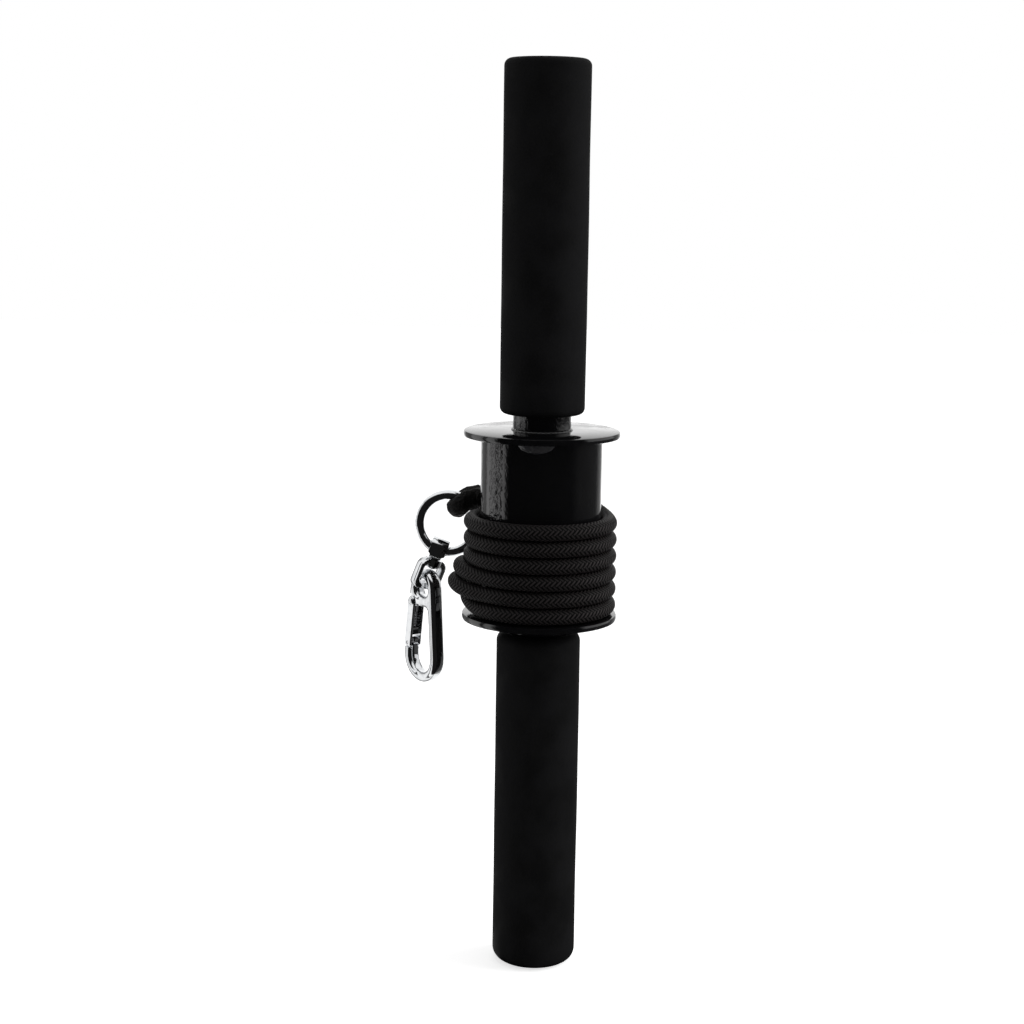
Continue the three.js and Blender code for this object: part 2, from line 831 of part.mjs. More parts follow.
function windowOutline() {
  const radius = crownRadius - barWidth;
  const right = sideNormal(1);
  const left = sideNormal(-1) + 360;
  const l = sideAt(-1, windowBottom, barWidth) + windowCorner;
  const r = sideAt(1, windowBottom, barWidth) - windowCorner;
  return [
    ...arc(crownMiddle.x, crownMiddle.y, radius, right, left, 10),
    ...arc(l, windowBottom + windowCorner, windowCorner, 180, 270, 3),
    ...arc(r, windowBottom + windowCorner, windowCorner, 270, 360, 3),
  ].reverse();
}

function openingOutline() {
  const radius = noseRadius - barWidth;
  const right = sideNormal(1);
  const left = sideNormal(-1) + 360;
  const l = sideAt(-1, openingTop, barWidth) + openingCorner;
  const r = sideAt(1, openingTop, barWidth) - openingCorner;
  return [
    ...arc(noseMiddle.x, noseMiddle.y, radius, left, right + 360, 12),
    ...arc(r, openingTop - openingCorner, openingCorner, 0, 90, 3),
    ...arc(l, openingTop - openingCorner, openingCorner, 90, 180, 3),
  ].reverse();
}

// The gate's pivot and lean. In the gate's frame X points into the snap and -Z along the gate.
const gateLean = -180 - sideNormal(-1);
const pivotHeight = windowBottom - pivotDrop;
const pivotPlace = at(sideAt(-1, pivotHeight, pivotInset), pivotHeight);
const channelHalf = snapThickness / 2 - gateWall;
const backFace = gateWall - pivotInset; // inside of the channel's back
const mouthFace = gateWidth - pivotInset; // open edge of the channel

function toSnap(geometry) {
  return geometry.rotateY(gateLean * degrees).translate(pivotPlace.x, 0, pivotPlace.y);
}

function makeSnapBody() {
  const body = plate(pearOutline(), [windowOutline(), openingOutline()], snapThickness, snapBevel, 3);
  const far = snapThickness / 2 + overrun;
  const outside = -pivotInset - snapBevel - overrun;
  const inside = mouthFace + overrun;
  const web = webThickness / 2;
  // the gap that the gate closes, from its lug down to the tongue
  const gap = block(outside, inside, -far, far, -tongueTop, 0);
  const lugDisc = rod(2 * lugRadius, 2 * far + overrun, 24);
  const gapRound = geometryOf(solidOf(gap).subtract(solidOf(lugDisc)));
  // slots for the gate's two cheeks, beside the lug, the bridge and the tongue
  const cheekRadius = Math.hypot(mouthFace, pivotInset) + slipGap;
  const sweep = barWidth + lugRadius + bridgeDepth;
  const cheekEnd = -gateLength - slipGap;
  const cheeks = [-1, 1].flatMap((side) => {
    const near = side < 0 ? -far : web;
    const away = side < 0 ? -web : far;
    const disc = rod(2 * cheekRadius, away - near, 28).translate(0, (near + away) / 2, 0);
    return [block(outside, sweep, near, away, cheekEnd, 0), disc];
  });
  const hole = rod(pivotDiameter + 2 * pivotClearance, 2 * far, 20);
  const notchHalf = latchPinDiameter / 2 + slipGap;
  const notch = block(
    -notchHalf,
    inside,
    -far,
    far,
    -latchPinPlace - notchHalf,
    -latchPinPlace + notchHalf,
  );
  const cutters = [gapRound, ...cheeks, hole, notch].map(toSnap);
  return cut(body, ...cutters, makePanelCutter());
}

// The long flat sunk into the outside of the spine
function makePanelCutter() {
  const angle = sideNormal(1);
  const outline = roundedOutline(
    -panelWidth / 2,
    panelWidth / 2,
    -panelLength,
    0,
    panelWidth / 3,
    panelWidth / 3,
    3,
  );
  const depth = 2 * panelDepth;
  return plate(outline, [], depth, 0, 1)
    .rotateZ(Math.PI / 2)
    .rotateY(-angle * degrees)
    .translate(sideAt(1, -panelStart, 0), 0, -panelStart);
}

function makeGate() {
  const high = Math.min(pivotInset, mouthFace);
  const outline = [
    ...arc(0, 0, high, 0, 180, 8),
    at(-pivotInset, 0),
    at(-pivotInset, -gateLength + gateWall),
    at(-pivotInset + gateWall, -gateLength),
    at(mouthFace - gateWall, -gateLength),
    at(mouthFace, -gateLength + gateWall),
  ].reverse();
  const bar = plate(dropRepeats(outline), [], snapThickness, gateBevel, 1);
  const far = gateLength + overrun;
  const inside = mouthFace + overrun;
  const outside = -pivotInset - overrun;
  const channel = block(backFace, inside, -channelHalf, channelHalf, -far, pivotInset + overrun);
  const backTop = block(
    outside,
    inside,
    -channelHalf,
    channelHalf,
    -gateBackStart,
    pivotInset + overrun,
  );
  const backTip = block(outside, inside, -channelHalf, channelHalf, -far, -gateBackEnd);
  const width = snapThickness + 2 * overrun;
  const pivotHole = rod(pivotDiameter + 2 * pivotClearance, width, 20);
  const pinHole = rod(latchPinDiameter + 2 * pivotClearance, width, 16).translate(
    0,
    0,
    -latchPinPlace,
  );
  const shell = cut(bar, channel, backTop, backTip, pivotHole, pinHole);
  const tabTop = springSeat - slipGap;
  const tab = block(
    backFace - gateWall / 2,
    springDiameter / 2,
    -channelHalf - gateWall / 2,
    channelHalf + gateWall / 2,
    tabTop - springTab,
    tabTop,
  );
  return join(shell, tab);
}

function dropRepeats(points) {
  return points.filter((p, i) => i === 0 || p.distanceTo(points[i - 1]) > slipGap / 100);
}

const plungerTop = -lugRadius - slipGap;
const plungerShoulder = plungerTop - plungerHead;
const springTop = plungerShoulder - slipGap;
const springSeat = springTop - springLength;

function makePlunger() {
  return turned(
    [
      at(0, plungerShoulder - plungerStemLength),
      at(plungerStem / 2, plungerShoulder - plungerStemLength),
      at(plungerStem / 2, plungerShoulder),
      at(plungerDiameter / 2, plungerShoulder),
      at(plungerDiameter / 2, plungerTop - plungerStem / 2),
      at(plungerStem / 2, plungerTop),
      at(0, plungerTop),
    ],
    16,
  );
}

function makeSpring() {
  const radius = (springDiameter - springWire) / 2;
  const steps = springCurls * 8;
  const points = [];
  for (let i = 0; i <= steps; i++) {
    const turn = (2 * Math.PI * springCurls * i) / steps;
    const height = springTop - springWire - ((springLength - 2 * springWire) * i) / steps;
    points.push(new THREE.Vector3(radius * Math.cos(turn), radius * Math.sin(turn), height));
  }
  return tubeThrough(points, springWire / 2, springWire / 2, 5, new THREE.Vector3(0, 0, 1));
}

function makePivot() {
  const shaft = snapThickness + 2 * slipGap;
  const head = pivotHeadHeight;
  const profile = [
    ...dome(pivotHeadDiameter / 2, -shaft / 2 - head, -shaft / 2),
    at(pivotDiameter / 2, -shaft / 2),
    at(pivotDiameter / 2, shaft / 2),
    ...dome(pivotHeadDiameter / 2, shaft / 2 + head, shaft / 2).reverse(),
  ];
  return turned(profile, 20).rotateX(Math.PI / 2);
}

function makeLatchPin() {
  return rod(latchPinDiameter, snapThickness - slipGap, 14).translate(0, 0, -latchPinPlace);
}

// The assembly
const roller = new THREE.Group();

const upright = new THREE.Group();
upright.add(piece("handle_tube", makeTube(), blackPaint));
upright.add(piece("drum_shell", makeDrum(), blackPaint));
upright.add(piece("lower_flange", makeFlange(spoolBottom), blackPaint));
upright.add(piece("upper_flange", makeFlange(spoolTop - flangeThickness), blackPaint));
upright.add(piece("lower_neck_weld", makeNeckWeld(spoolBottom, -1), blackPaint));
upright.add(piece("upper_neck_weld", makeNeckWeld(spoolTop, 1), blackPaint));
const tackAngles = [265, 25, 145];
tackAngles.forEach((angle, i) => {
  const upper = makeTack(angle, spoolTop - flangeThickness, 1);
  upright.add(piece(`upper_tack_weld_${i + 1}`, upper, blackPaint));
});
roller.add(upright);

for (const end of ["lower", "upper"]) {
  const group = new THREE.Group();
  group.add(piece(`${end}_grip`, makeGrip(), blackFoam));
  const plug = piece(`${end}_end_plug`, makePlug(), blackPlastic);
  plug.position.z = gripEndWall + slipGap;
  group.add(plug);
  if (end === "upper") {
    group.rotation.x = Math.PI;
    group.position.z = overallLength;
  }
  roller.add(group);
}

const rope = new THREE.Group();
rope.add(piece("rope_stop", makeRopeStop(), zincSteel));
rope.add(piece("rope_winding", makeWinding(), blackRope));
rope.add(piece("rope_tail", makeRopeTail(), blackRope));
rope.add(piece("rope_sleeve", makeSleeve(), blackPlastic));
rope.add(piece("rope_eye", makeRopeEye(), blackRope));
roller.add(rope);
const fineStep = 3; // degrees
const windingGap = leastSelfGap(windingPath(fineStep), ropeDiameter, 4 * ropeDiameter);
console.log(`rope_winding: least gap to itself ${windingGap.toFixed(2)} mm`);

const ring = piece("split_ring", makeSplitRing(), chrome);
ring.position.copy(ringCentre);
roller.add(ring);

const swivel = new THREE.Group();
swivel.position.copy(onRing(swivelOnRing, ringRadius));
swivel.rotation.y = (270 - swivelOnRing) * degrees;
swivel.add(piece("swivel_eye", makeSwivelEye(), chrome));
const bow = piece("swivel_bow", makeSwivelBow(), chrome);
bow.rotation.z = bowTurn * degrees;
swivel.add(bow);
roller.add(swivel);
swivel.updateMatrixWorld(true);

const snap = new THREE.Group();
snap.position.copy(bow.localToWorld(new THREE.Vector3(hookAlongBar, 0, barCentre)));
snap.rotation.z = -snapTurn * degrees;
snap.add(piece("snap_body", makeSnapBody(), chrome));
const gateGroup = new THREE.Group();
gateGroup.position.set(pivotPlace.x, 0, pivotPlace.y);
gateGroup.rotation.y = gateLean * degrees;
gateGroup.add(piece("gate", makeGate(), chrome));
gateGroup.add(piece("gate_rivet", makePivot(), chrome));
gateGroup.add(piece("gate_plunger", makePlunger(), zincSteel));
gateGroup.add(piece("gate_spring", makeSpring(), zincSteel));
gateGroup.add(piece("latch_pin", makeLatchPin(), zincSteel));
snap.add(gateGroup);
roller.add(snap);

export default roller;
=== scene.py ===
# Looks of a wrist roller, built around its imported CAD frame. Metres, +Z up the tube.
import math

import bmesh
import bpy
from mathutils import Matrix, Vector, noise


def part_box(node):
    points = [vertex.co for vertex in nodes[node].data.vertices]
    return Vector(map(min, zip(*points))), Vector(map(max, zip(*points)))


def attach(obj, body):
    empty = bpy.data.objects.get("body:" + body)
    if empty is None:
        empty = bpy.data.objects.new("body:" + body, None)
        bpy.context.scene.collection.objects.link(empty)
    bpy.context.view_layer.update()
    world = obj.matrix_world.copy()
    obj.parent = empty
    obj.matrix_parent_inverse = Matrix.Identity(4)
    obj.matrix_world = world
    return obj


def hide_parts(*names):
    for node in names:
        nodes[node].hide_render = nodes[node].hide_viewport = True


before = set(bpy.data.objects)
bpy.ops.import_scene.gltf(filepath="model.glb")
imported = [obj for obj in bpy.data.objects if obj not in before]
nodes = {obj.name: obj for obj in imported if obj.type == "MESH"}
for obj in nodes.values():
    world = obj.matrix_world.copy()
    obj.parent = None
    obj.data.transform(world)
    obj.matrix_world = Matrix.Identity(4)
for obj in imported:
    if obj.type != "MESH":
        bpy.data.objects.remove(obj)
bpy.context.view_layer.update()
scene = bpy.context.scene
mm = 0.001
print("stage: frame loaded")


# ---- camera: at the photograph's viewing angle ----
cameraSetup = {
    "lens": 67.3,
    "sensor": 36.0,
    "place": (0.0, -0.82936, 0.34522),
    "right": (0.9997409, 0.01756524, 0.01447761),
    "up": (-0.01719456, 0.16598016, 0.98597917),
    "forward": (-0.01491596, 0.98597264, -0.16623918),
}


def makeCamera(setup):
    data = bpy.data.cameras.new("camera")
    data.lens = setup["lens"]
    data.sensor_width = setup["sensor"]
    data.clip_start, data.clip_end = 0.01, 60
    camera = bpy.data.objects.new("camera", data)
    scene.collection.objects.link(camera)
    right, up, forward = (Vector(setup[k]) for k in ("right", "up", "forward"))
    turn = Matrix((right, up, -forward)).transposed().to_4x4()
    camera.matrix_world = Matrix.Translation(setup["place"]) @ turn
    scene.camera = camera


makeCamera(cameraSetup)


# ---- the rope's route, the same as the CAD's ----
rope = {
    "diameter": 6.8,
    "drumRadius": 26.55,
    "gap": 0.3,
    "floor": 161.0,  # top of the lower flange
    "pitch": 7.3,
    "turns": 6,
    "firstTurnRise": 4.0,
    "holeAngle": 162.0,
    "holeRise": 7.5,
    "leadBend": 5.6,
    "leadRun": 8.3,
    "leadTuck": 0.22,  # of the rope's radius, how much sooner its bend starts
    "leadLevelAngle": 46.0,
    "humpAngle": 176.0,
    "humpHalfAngle": 52.0,
    "humpOut": (0, 1.02, 0.68, 0, 0, 0, 0),  # shares of the diameter, turn by turn
    "humpUp": (0, 0.29, 0.25, 0, 0, 0, 0),
    "tailRise": 8.0,
    "leadSteps": 24,
    "turnStep": 3,  # degrees between the path's points on the drum
    "tailSteps": 12,
    "inSleeve": 3.0,  # how far its outer end runs into the sleeve
    "sides": 50,
    "step": 2.0 / 3,  # between rings of the rope's skin
}
ropeEnd = {
    "ringCentre": (-41.8, 29.0, 194.8),
    "ringRadius": 13.25,
    "eyeOnRing": 56.0,
    "eyeLean": 43.0,
    "eyeBend": 5.3,
    "eyeSag": 0.7,
    "eyeLegRun": 2.6,
    "eyeLegsEnd": (-25.4, 29.0, 207.9),  # inside the sleeve
    "eyeLegsApart": 8.4,
    "eyeLegSteps": 26,
    "bightSteps": 36,
    "sleeveLeft": (-27.2, 29.0, 208.9),
    "sleeveLength": 10.6,
    "sleeveClimb": 1.4,
    "sleeveWall": 0.7,
    "legSpacing": 6.9,
}
braid = {
    "strands": 10.0,  # that lean each way
    "stitch": 2.0,
    "relief": 0.3,  # from the crown of a strand down to where two cross
    "crown": 0.1,  # how far a crown stands over the rope's radius
}
ropeRadius = rope["diameter"] / 2
windRadius = rope["drumRadius"] + rope["gap"] + ropeRadius
leadBendStart = rope["drumRadius"] - rope["gap"] - ropeRadius * rope["leadTuck"]
leadEndRadius = math.hypot(leadBendStart + rope["leadBend"], rope["leadBend"])
leadEndAngle = rope["holeAngle"] + math.degrees(math.atan2(rope["leadBend"], windRadius))
lastTurn = rope["turns"] * 360 + 90


def smooth(t):
    x = min(max(t, 0.0), 1.0)
    return x * x * (3 - 2 * x)


def windingPoint(turn):
    lowest = rope["floor"] + rope["firstTurnRise"]
    lap = math.floor((turn / 180 - 1) / 2)
    inLap = turn - 180 - lap * 360
    if lap == rope["turns"] - 1:
        climb = rope["tailRise"] * smooth((inLap - 180) / 90)
    else:
        climb = rope["pitch"] * smooth((inLap - 180) / 180)
    height = lowest + max(lap, 0) * rope["pitch"] + (0 if lap < 0 else climb)
    radius = windRadius
    for k in range(1, rope["turns"]):
        away = (turn - rope["humpAngle"] - k * 360) / rope["humpHalfAngle"]
        if abs(away) < 1:
            bump = math.cos(away * math.pi / 2) ** 2
            radius += rope["humpOut"][k] * rope["diameter"] * bump
            height += rope["humpUp"][k] * rope["diameter"] * bump * bump
    if turn < 360:
        levelled = smooth((turn - leadEndAngle) / rope["leadLevelAngle"])
        holeHeight = rope["floor"] + rope["holeRise"]
        height = holeHeight + (lowest - holeHeight) * levelled
        radius = windRadius + (leadEndRadius - windRadius) * (1 - levelled)
    angle = math.radians(turn)
    return Vector((radius * math.cos(angle), radius * math.sin(angle), height))


def leadPoint(out, along):
    turn = Matrix.Rotation(math.radians(rope["holeAngle"]), 3, "Z")
    return turn @ Vector((out, along, rope["floor"] + rope["holeRise"]))


def bezier(a, b, c, d, steps):
    points = []
    for i in range(steps + 1):
        t = i / steps
        u = 1 - t
        points.append(a * u**3 + b * (3 * u * u * t) + c * (3 * u * t * t) + d * t**3)
    return points


sleeveLeft = Vector(ropeEnd["sleeveLeft"])
sleeveAxis = Vector((ropeEnd["sleeveLength"], 0, ropeEnd["sleeveClimb"])).normalized()
sleeveRight = sleeveLeft + sleeveAxis * ropeEnd["sleeveLength"]
backward = Vector((0, 1, 0))


def ropePath():
    points = [leadPoint(leadBendStart - rope["leadRun"], 0), leadPoint(leadBendStart, 0)]
    for i in range(1, rope["leadSteps"]):
        angle = math.radians(90 * i / rope["leadSteps"])
        out = leadBendStart + rope["leadBend"] * math.sin(angle)
        points.append(leadPoint(out, rope["leadBend"] * (1 - math.cos(angle))))
    spans = round((lastTurn - leadEndAngle) / rope["turnStep"])
    for i in range(spans + 1):
        points.append(windingPoint(leadEndAngle + (lastTurn - leadEndAngle) * i / spans))
    leave = points[-1] + Vector((-rope["diameter"], 0, 0))
    reach = sleeveRight + backward * (ropeEnd["legSpacing"] / 2)
    run = (leave - reach).length / 3
    bend = leave + Vector((-run, 0, 0)), reach + sleeveAxis * run
    points += bezier(leave, *bend, reach, rope["tailSteps"])
    points.append(reach - sleeveAxis * rope["inSleeve"])
    return [p * mm for p in points]


def eyePath():
    # the bight round the ring, with its two legs running up into the sleeve
    angle = math.radians(ropeEnd["eyeOnRing"])
    around = Vector((math.cos(angle), 0, math.sin(angle))) * ropeEnd["ringRadius"]
    lean = math.radians(ropeEnd["eyeLean"])
    axis = Vector((math.cos(lean), 0, math.sin(lean)))
    middle = Vector(ropeEnd["ringCentre"]) + around - axis * ropeEnd["eyeSag"]
    radius = ropeEnd["eyeBend"]
    legs = {}
    for side in (1, -1):
        start = middle + backward * (side * radius)
        end = Vector(ropeEnd["eyeLegsEnd"]) + backward * (side * ropeEnd["eyeLegsApart"] / 2)
        run = ropeEnd["eyeLegRun"]
        bend = start + axis * run, end - sleeveAxis * run
        legs[side] = bezier(start, *bend, end, ropeEnd["eyeLegSteps"])
    bight = []
    for i in range(1, ropeEnd["bightSteps"]):
        turn = math.pi / 2 + math.pi * i / ropeEnd["bightSteps"]
        out, across = radius * math.cos(turn), radius * math.sin(turn)
        bight.append(middle + axis * out + backward * across)
    return [p * mm for p in [*reversed(legs[1]), *bight, *legs[-1]]], axis


# ---- node helpers ----
def addNode(tree, kind, inputs=None, **settings):
    node = tree.nodes.new(kind)
    for name, value in settings.items():
        setattr(node, name, value)
    for key, value in (inputs or {}).items():
        if isinstance(value, bpy.types.NodeSocket):
            tree.links.new(value, node.inputs[key])
        else:
            node.inputs[key].default_value = value
    return node


def doMath(tree, operation, a, b=0.0, c=0.0):
    return addNode(tree, "ShaderNodeMath", {0: a, 1: b, 2: c}, operation=operation).outputs[0]


def mapRange(tree, value, low, high, toLow=0.0, toHigh=1.0):
    inputs = {0: value, 1: low, 2: high, 3: toLow, 4: toHigh}
    settings = {"interpolation_type": "SMOOTHSTEP"}
    return addNode(tree, "ShaderNodeMapRange", inputs, **settings).outputs[0]


def newGroup(name, inputs, outputs):
    tree = bpy.data.node_groups.new(name, "ShaderNodeTree")
    for label, value in inputs:
        socket = tree.interface.new_socket(label, in_out="INPUT", socket_type="NodeSocketFloat")
        socket.default_value = value
    for label in outputs:
        tree.interface.new_socket(label, in_out="OUTPUT", socket_type="NodeSocketFloat")
    return tree, tree.nodes.new("NodeGroupInput"), tree.nodes.new("NodeGroupOutput")


# ---- shared surface effects ----
def makeOrangePeel():
    # sprayed gloss: short wormy ridges, with a broader unevenness under them
    inputs = [("Ridge size", 1.1), ("Ridge depth", 1.0)]
    inputs += [("Roughness low", 0.14), ("Roughness high", 0.3)]
    inputs += [("Stretch", 1.0)]  # along the height, as sprayed paint sags
    # a strip where the paint sagged most, in degrees round the tube
    inputs += [("Run angle", 0.0), ("Run width", 9.0), ("Run depth", 0.0)]
    tree, given, made = newGroup("orangePeel", inputs, ["Height", "Roughness"])
    spot = addNode(tree, "ShaderNodeTexCoord").outputs["Object"]
    x, y, z = addNode(tree, "ShaderNodeSeparateXYZ", {0: spot}).outputs
    drawn = doMath(tree, "DIVIDE", z, given.outputs["Stretch"])
    place = addNode(tree, "ShaderNodeCombineXYZ", {0: x, 1: y, 2: drawn}).outputs[0]
    scale = doMath(tree, "DIVIDE", 1000.0, given.outputs["Ridge size"])
    warp = addNode(tree, "ShaderNodeTexNoise", {"Vector": place, "Scale": scale, "Detail": 2.0})
    ridges = mapRange(tree, warp.outputs["Fac"], 0.38, 0.62)
    broad = addNode(tree, "ShaderNodeTexNoise", {"Vector": place, "Scale": 160.0, "Detail": 1.0})
    around = doMath(tree, "DEGREES", doMath(tree, "ARCTAN2", y, x))
    off = doMath(tree, "SUBTRACT", around, given.outputs["Run angle"])
    off = doMath(tree, "ABSOLUTE", doMath(tree, "WRAP", off, 180.0, -180.0))
    off = doMath(tree, "DIVIDE", off, given.outputs["Run width"])
    run = doMath(tree, "MULTIPLY", mapRange(tree, off, 1.0, 0.6), given.outputs["Run depth"])
    fine = doMath(tree, "MULTIPLY", ridges, doMath(tree, "ADD", run, given.outputs["Ridge depth"]))
    height = doMath(tree, "MULTIPLY_ADD", broad.outputs["Fac"], 1.4, fine)
    rough = mapRange(tree, broad.outputs["Fac"], 0.3, 0.7)
    low, high = given.outputs["Roughness low"], given.outputs["Roughness high"]
    spread = doMath(tree, "SUBTRACT", high, low)
    tree.links.new(height, made.inputs["Height"])
    tree.links.new(doMath(tree, "MULTIPLY_ADD", rough, spread, low), made.inputs["Roughness"])
    return tree


def plait(tree, along, around, strands, stitch):
    # strands lean both ways, and each passes over two and under two. Returns the height, which
    # strands lie on top, and the thread that runs along each of them.
    lengthwise = doMath(tree, "DIVIDE", doMath(tree, "MULTIPLY", along, 1000.0), stitch)
    crosswise = doMath(tree, "MULTIPLY", around, strands)
    leans = [doMath(tree, kind, crosswise, lengthwise) for kind in ("ADD", "SUBTRACT")]
    counts = [doMath(tree, "FLOOR", lean) for lean in leans]
    total = doMath(tree, "ADD", counts[0], counts[1])
    over = doMath(tree, "LESS_THAN", doMath(tree, "FLOORED_MODULO", total, 4.0), 2.0)
    ridges = []
    for lean in leans:
        across = doMath(tree, "SUBTRACT", doMath(tree, "FRACT", lean), 0.5)
        squared = doMath(tree, "MULTIPLY", across, across)
        ridges.append(doMath(tree, "SUBTRACT", 1.0, doMath(tree, "MULTIPLY", squared, 4.0)))
    first = doMath(tree, "MULTIPLY", ridges[0], over)
    second = doMath(tree, "MULTIPLY", ridges[1], doMath(tree, "SUBTRACT", 1.0, over))
    threads = doMath(tree, "MULTIPLY", doMath(tree, "ADD", leans[0], leans[1]), 5.0 * math.pi)
    threads = doMath(tree, "ABSOLUTE", doMath(tree, "SINE", threads))
    return doMath(tree, "ADD", first, second), over, threads


def makeBraid():
    # a plaited cover. The UV map runs in metres along the rope and once round it.
    inputs = [("Strands", braid["strands"]), ("Stitch", braid["stitch"])]
    tree, given, made = newGroup("ropeBraid", inputs, ["Height", "Strand", "Groove"])
    uv = addNode(tree, "ShaderNodeUVMap").outputs[0]
    split = addNode(tree, "ShaderNodeSeparateXYZ", {0: uv})
    height, over, threads = plait(
        tree, split.outputs[0], split.outputs[1], given.outputs["Strands"], given.outputs["Stitch"]
    )
    tree.links.new(doMath(tree, "MULTIPLY_ADD", threads, 0.12, height), made.inputs["Height"])
    tree.links.new(over, made.inputs["Strand"])
    # Groove: how far down between strands a spot lies; it darkens the rope's colour as painted shade,
    # and makes it rougher
    tree.links.new(mapRange(tree, height, 0.97, 0.52), made.inputs["Groove"])
    return tree


def makeFoamGrain():
    # closed cells that were skinned over, with a few open pores
    inputs = [("Cell size", 0.55), ("Pore size", 1.6)]
    tree, given, made = newGroup("foamGrain", inputs, ["Height", "Patch"])
    place = addNode(tree, "ShaderNodeTexCoord").outputs["Object"]
    cells = doMath(tree, "DIVIDE", 1000.0, given.outputs["Cell size"])
    pores = doMath(tree, "DIVIDE", 1000.0, given.outputs["Pore size"])
    cell = addNode(tree, "ShaderNodeTexVoronoi", {"Vector": place, "Scale": cells}, feature="SMOOTH_F1")
    pore = addNode(tree, "ShaderNodeTexVoronoi", {"Vector": place, "Scale": pores})
    patch = addNode(tree, "ShaderNodeTexNoise", {"Vector": place, "Scale": 55.0, "Detail": 3.0})
    openPores = mapRange(tree, pore.outputs["Distance"], 0.16, 0.05)
    sunk = doMath(tree, "MULTIPLY", openPores, 0.7)
    height = doMath(tree, "SUBTRACT", cell.outputs["Distance"], sunk)
    tree.links.new(height, made.inputs["Height"])
    tree.links.new(mapRange(tree, patch.outputs["Fac"], 0.35, 0.65), made.inputs["Patch"])
    return tree


def makeHandling():
    # what handling leaves on bright plate: cloudy patches and hair-fine scuffs
    inputs = [("Scuff size", 2.2), ("Roughness low", 0.04), ("Roughness high", 0.16)]
    tree, given, made = newGroup("plateHandling", inputs, ["Height", "Roughness", "Cloud"])
    place = addNode(tree, "ShaderNodeTexCoord").outputs["Object"]
    scale = doMath(tree, "DIVIDE", 1000.0, given.outputs["Scuff size"])
    cloud = addNode(tree, "ShaderNodeTexNoise", {"Vector": place, "Scale": scale, "Detail": 4.0})
    wave = addNode(tree, "ShaderNodeTexNoise", {"Vector": place, "Scale": 300.0, "Detail": 1.0})
    amount = mapRange(tree, cloud.outputs["Fac"], 0.42, 0.72)
    low, high = given.outputs["Roughness low"], given.outputs["Roughness high"]
    spread = doMath(tree, "SUBTRACT", high, low)
    tree.links.new(wave.outputs["Fac"], made.inputs["Height"])
    tree.links.new(doMath(tree, "MULTIPLY_ADD", amount, spread, low), made.inputs["Roughness"])
    tree.links.new(amount, made.inputs["Cloud"])
    return tree


orangePeel = makeOrangePeel()
ropeBraid = makeBraid()
foamGrain = makeFoamGrain()
plateHandling = makeHandling()


def newMaterial(name, settings):
    material = bpy.data.materials.new(name)
    material.use_nodes = True
    tree = material.node_tree
    shader = tree.nodes["Principled BSDF"]
    for key, value in settings.items():
        shader.inputs[key].default_value = value
    return material, tree, shader


def placeGroup(tree, group, values):
    node = tree.nodes.new("ShaderNodeGroup")
    node.node_tree = group
    for key, value in values.items():
        node.inputs[key].default_value = value
    return node


def mixColours(tree, factor, first, second):
    # each of the two is a colour, or a socket that gives one
    pair = [c if isinstance(c, bpy.types.NodeSocket) else (*c, 1) for c in (first, second)]
    inputs = {0: factor, 6: pair[0], 7: pair[1]}  # 6 and 7 are the node's colour sockets
    return addNode(tree, "ShaderNodeMix", inputs, data_type="RGBA").outputs[2]


def addBump(tree, shader, height, distance, strength):
    inputs = {"Height": height, "Distance": distance, "Strength": strength}
    bump = addNode(tree, "ShaderNodeBump", inputs)
    tree.links.new(bump.outputs[0], shader.inputs["Normal"])


glossBlack = ((0.003, 0.003, 0.0034), (0.009, 0.009, 0.0098))


def makeGlossPaint(name, ridge, depth, low, high, stretch=1.0, run=None, paintedLight=1.0):
    material, tree, shader = newMaterial(name, {"IOR": 1.55})
    values = {"Ridge size": ridge, "Roughness low": low, "Roughness high": high, "Stretch": stretch}
    skin = placeGroup(tree, orangePeel, {**values, **(run or {})})
    tree.links.new(skin.outputs["Roughness"], shader.inputs["Roughness"])
    # painted light: this factor lifts both colours, for a part that should look brighter from the light
    # it catches
    dark, light = ([part * paintedLight for part in grey] for grey in glossBlack)
    colour = mixColours(tree, skin.outputs["Roughness"], dark, light)
    tree.links.new(colour, shader.inputs["Base Color"])
    addBump(tree, shader, skin.outputs["Height"], depth * mm, 0.6)
    return material


def makeFoam():
    material, tree, shader = newMaterial("blackFoam", {"IOR": 1.12})
    grain = placeGroup(tree, foamGrain, {})
    colour = mixColours(tree, grain.outputs["Patch"], (0.0058, 0.0058, 0.006), (0.0085, 0.0085, 0.009))
    tree.links.new(colour, shader.inputs["Base Color"])
    rough = mapRange(tree, grain.outputs["Patch"], 0.0, 1.0, 0.62, 0.8)
    tree.links.new(rough, shader.inputs["Roughness"])
    addBump(tree, shader, grain.outputs["Height"], 0.06 * mm, 0.5)
    return material


def makeRopeCover():
    material, tree, shader = newMaterial("braidedRope", {"IOR": 1.2})
    skin = placeGroup(tree, ropeBraid, {})
    # painted sheen: strands that lean one way get a lighter colour, as if they caught more light
    paintedStrandSheen = mixColours(tree, skin.outputs["Strand"], (0.0198, 0.0178, 0.0178), (0.0275, 0.0243, 0.0243))
    # painted shade: the colour darkens to near black down in the grooves between strands
    colour = mixColours(tree, skin.outputs["Groove"], paintedStrandSheen, (0.001, 0.001, 0.001))
    tree.links.new(colour, shader.inputs["Base Color"])
    rough = mapRange(tree, skin.outputs["Groove"], 0.0, 1.0, 0.42, 0.85)
    tree.links.new(rough, shader.inputs["Roughness"])
    addBump(tree, shader, skin.outputs["Height"], 0.15 * mm, 0.8)
    return material


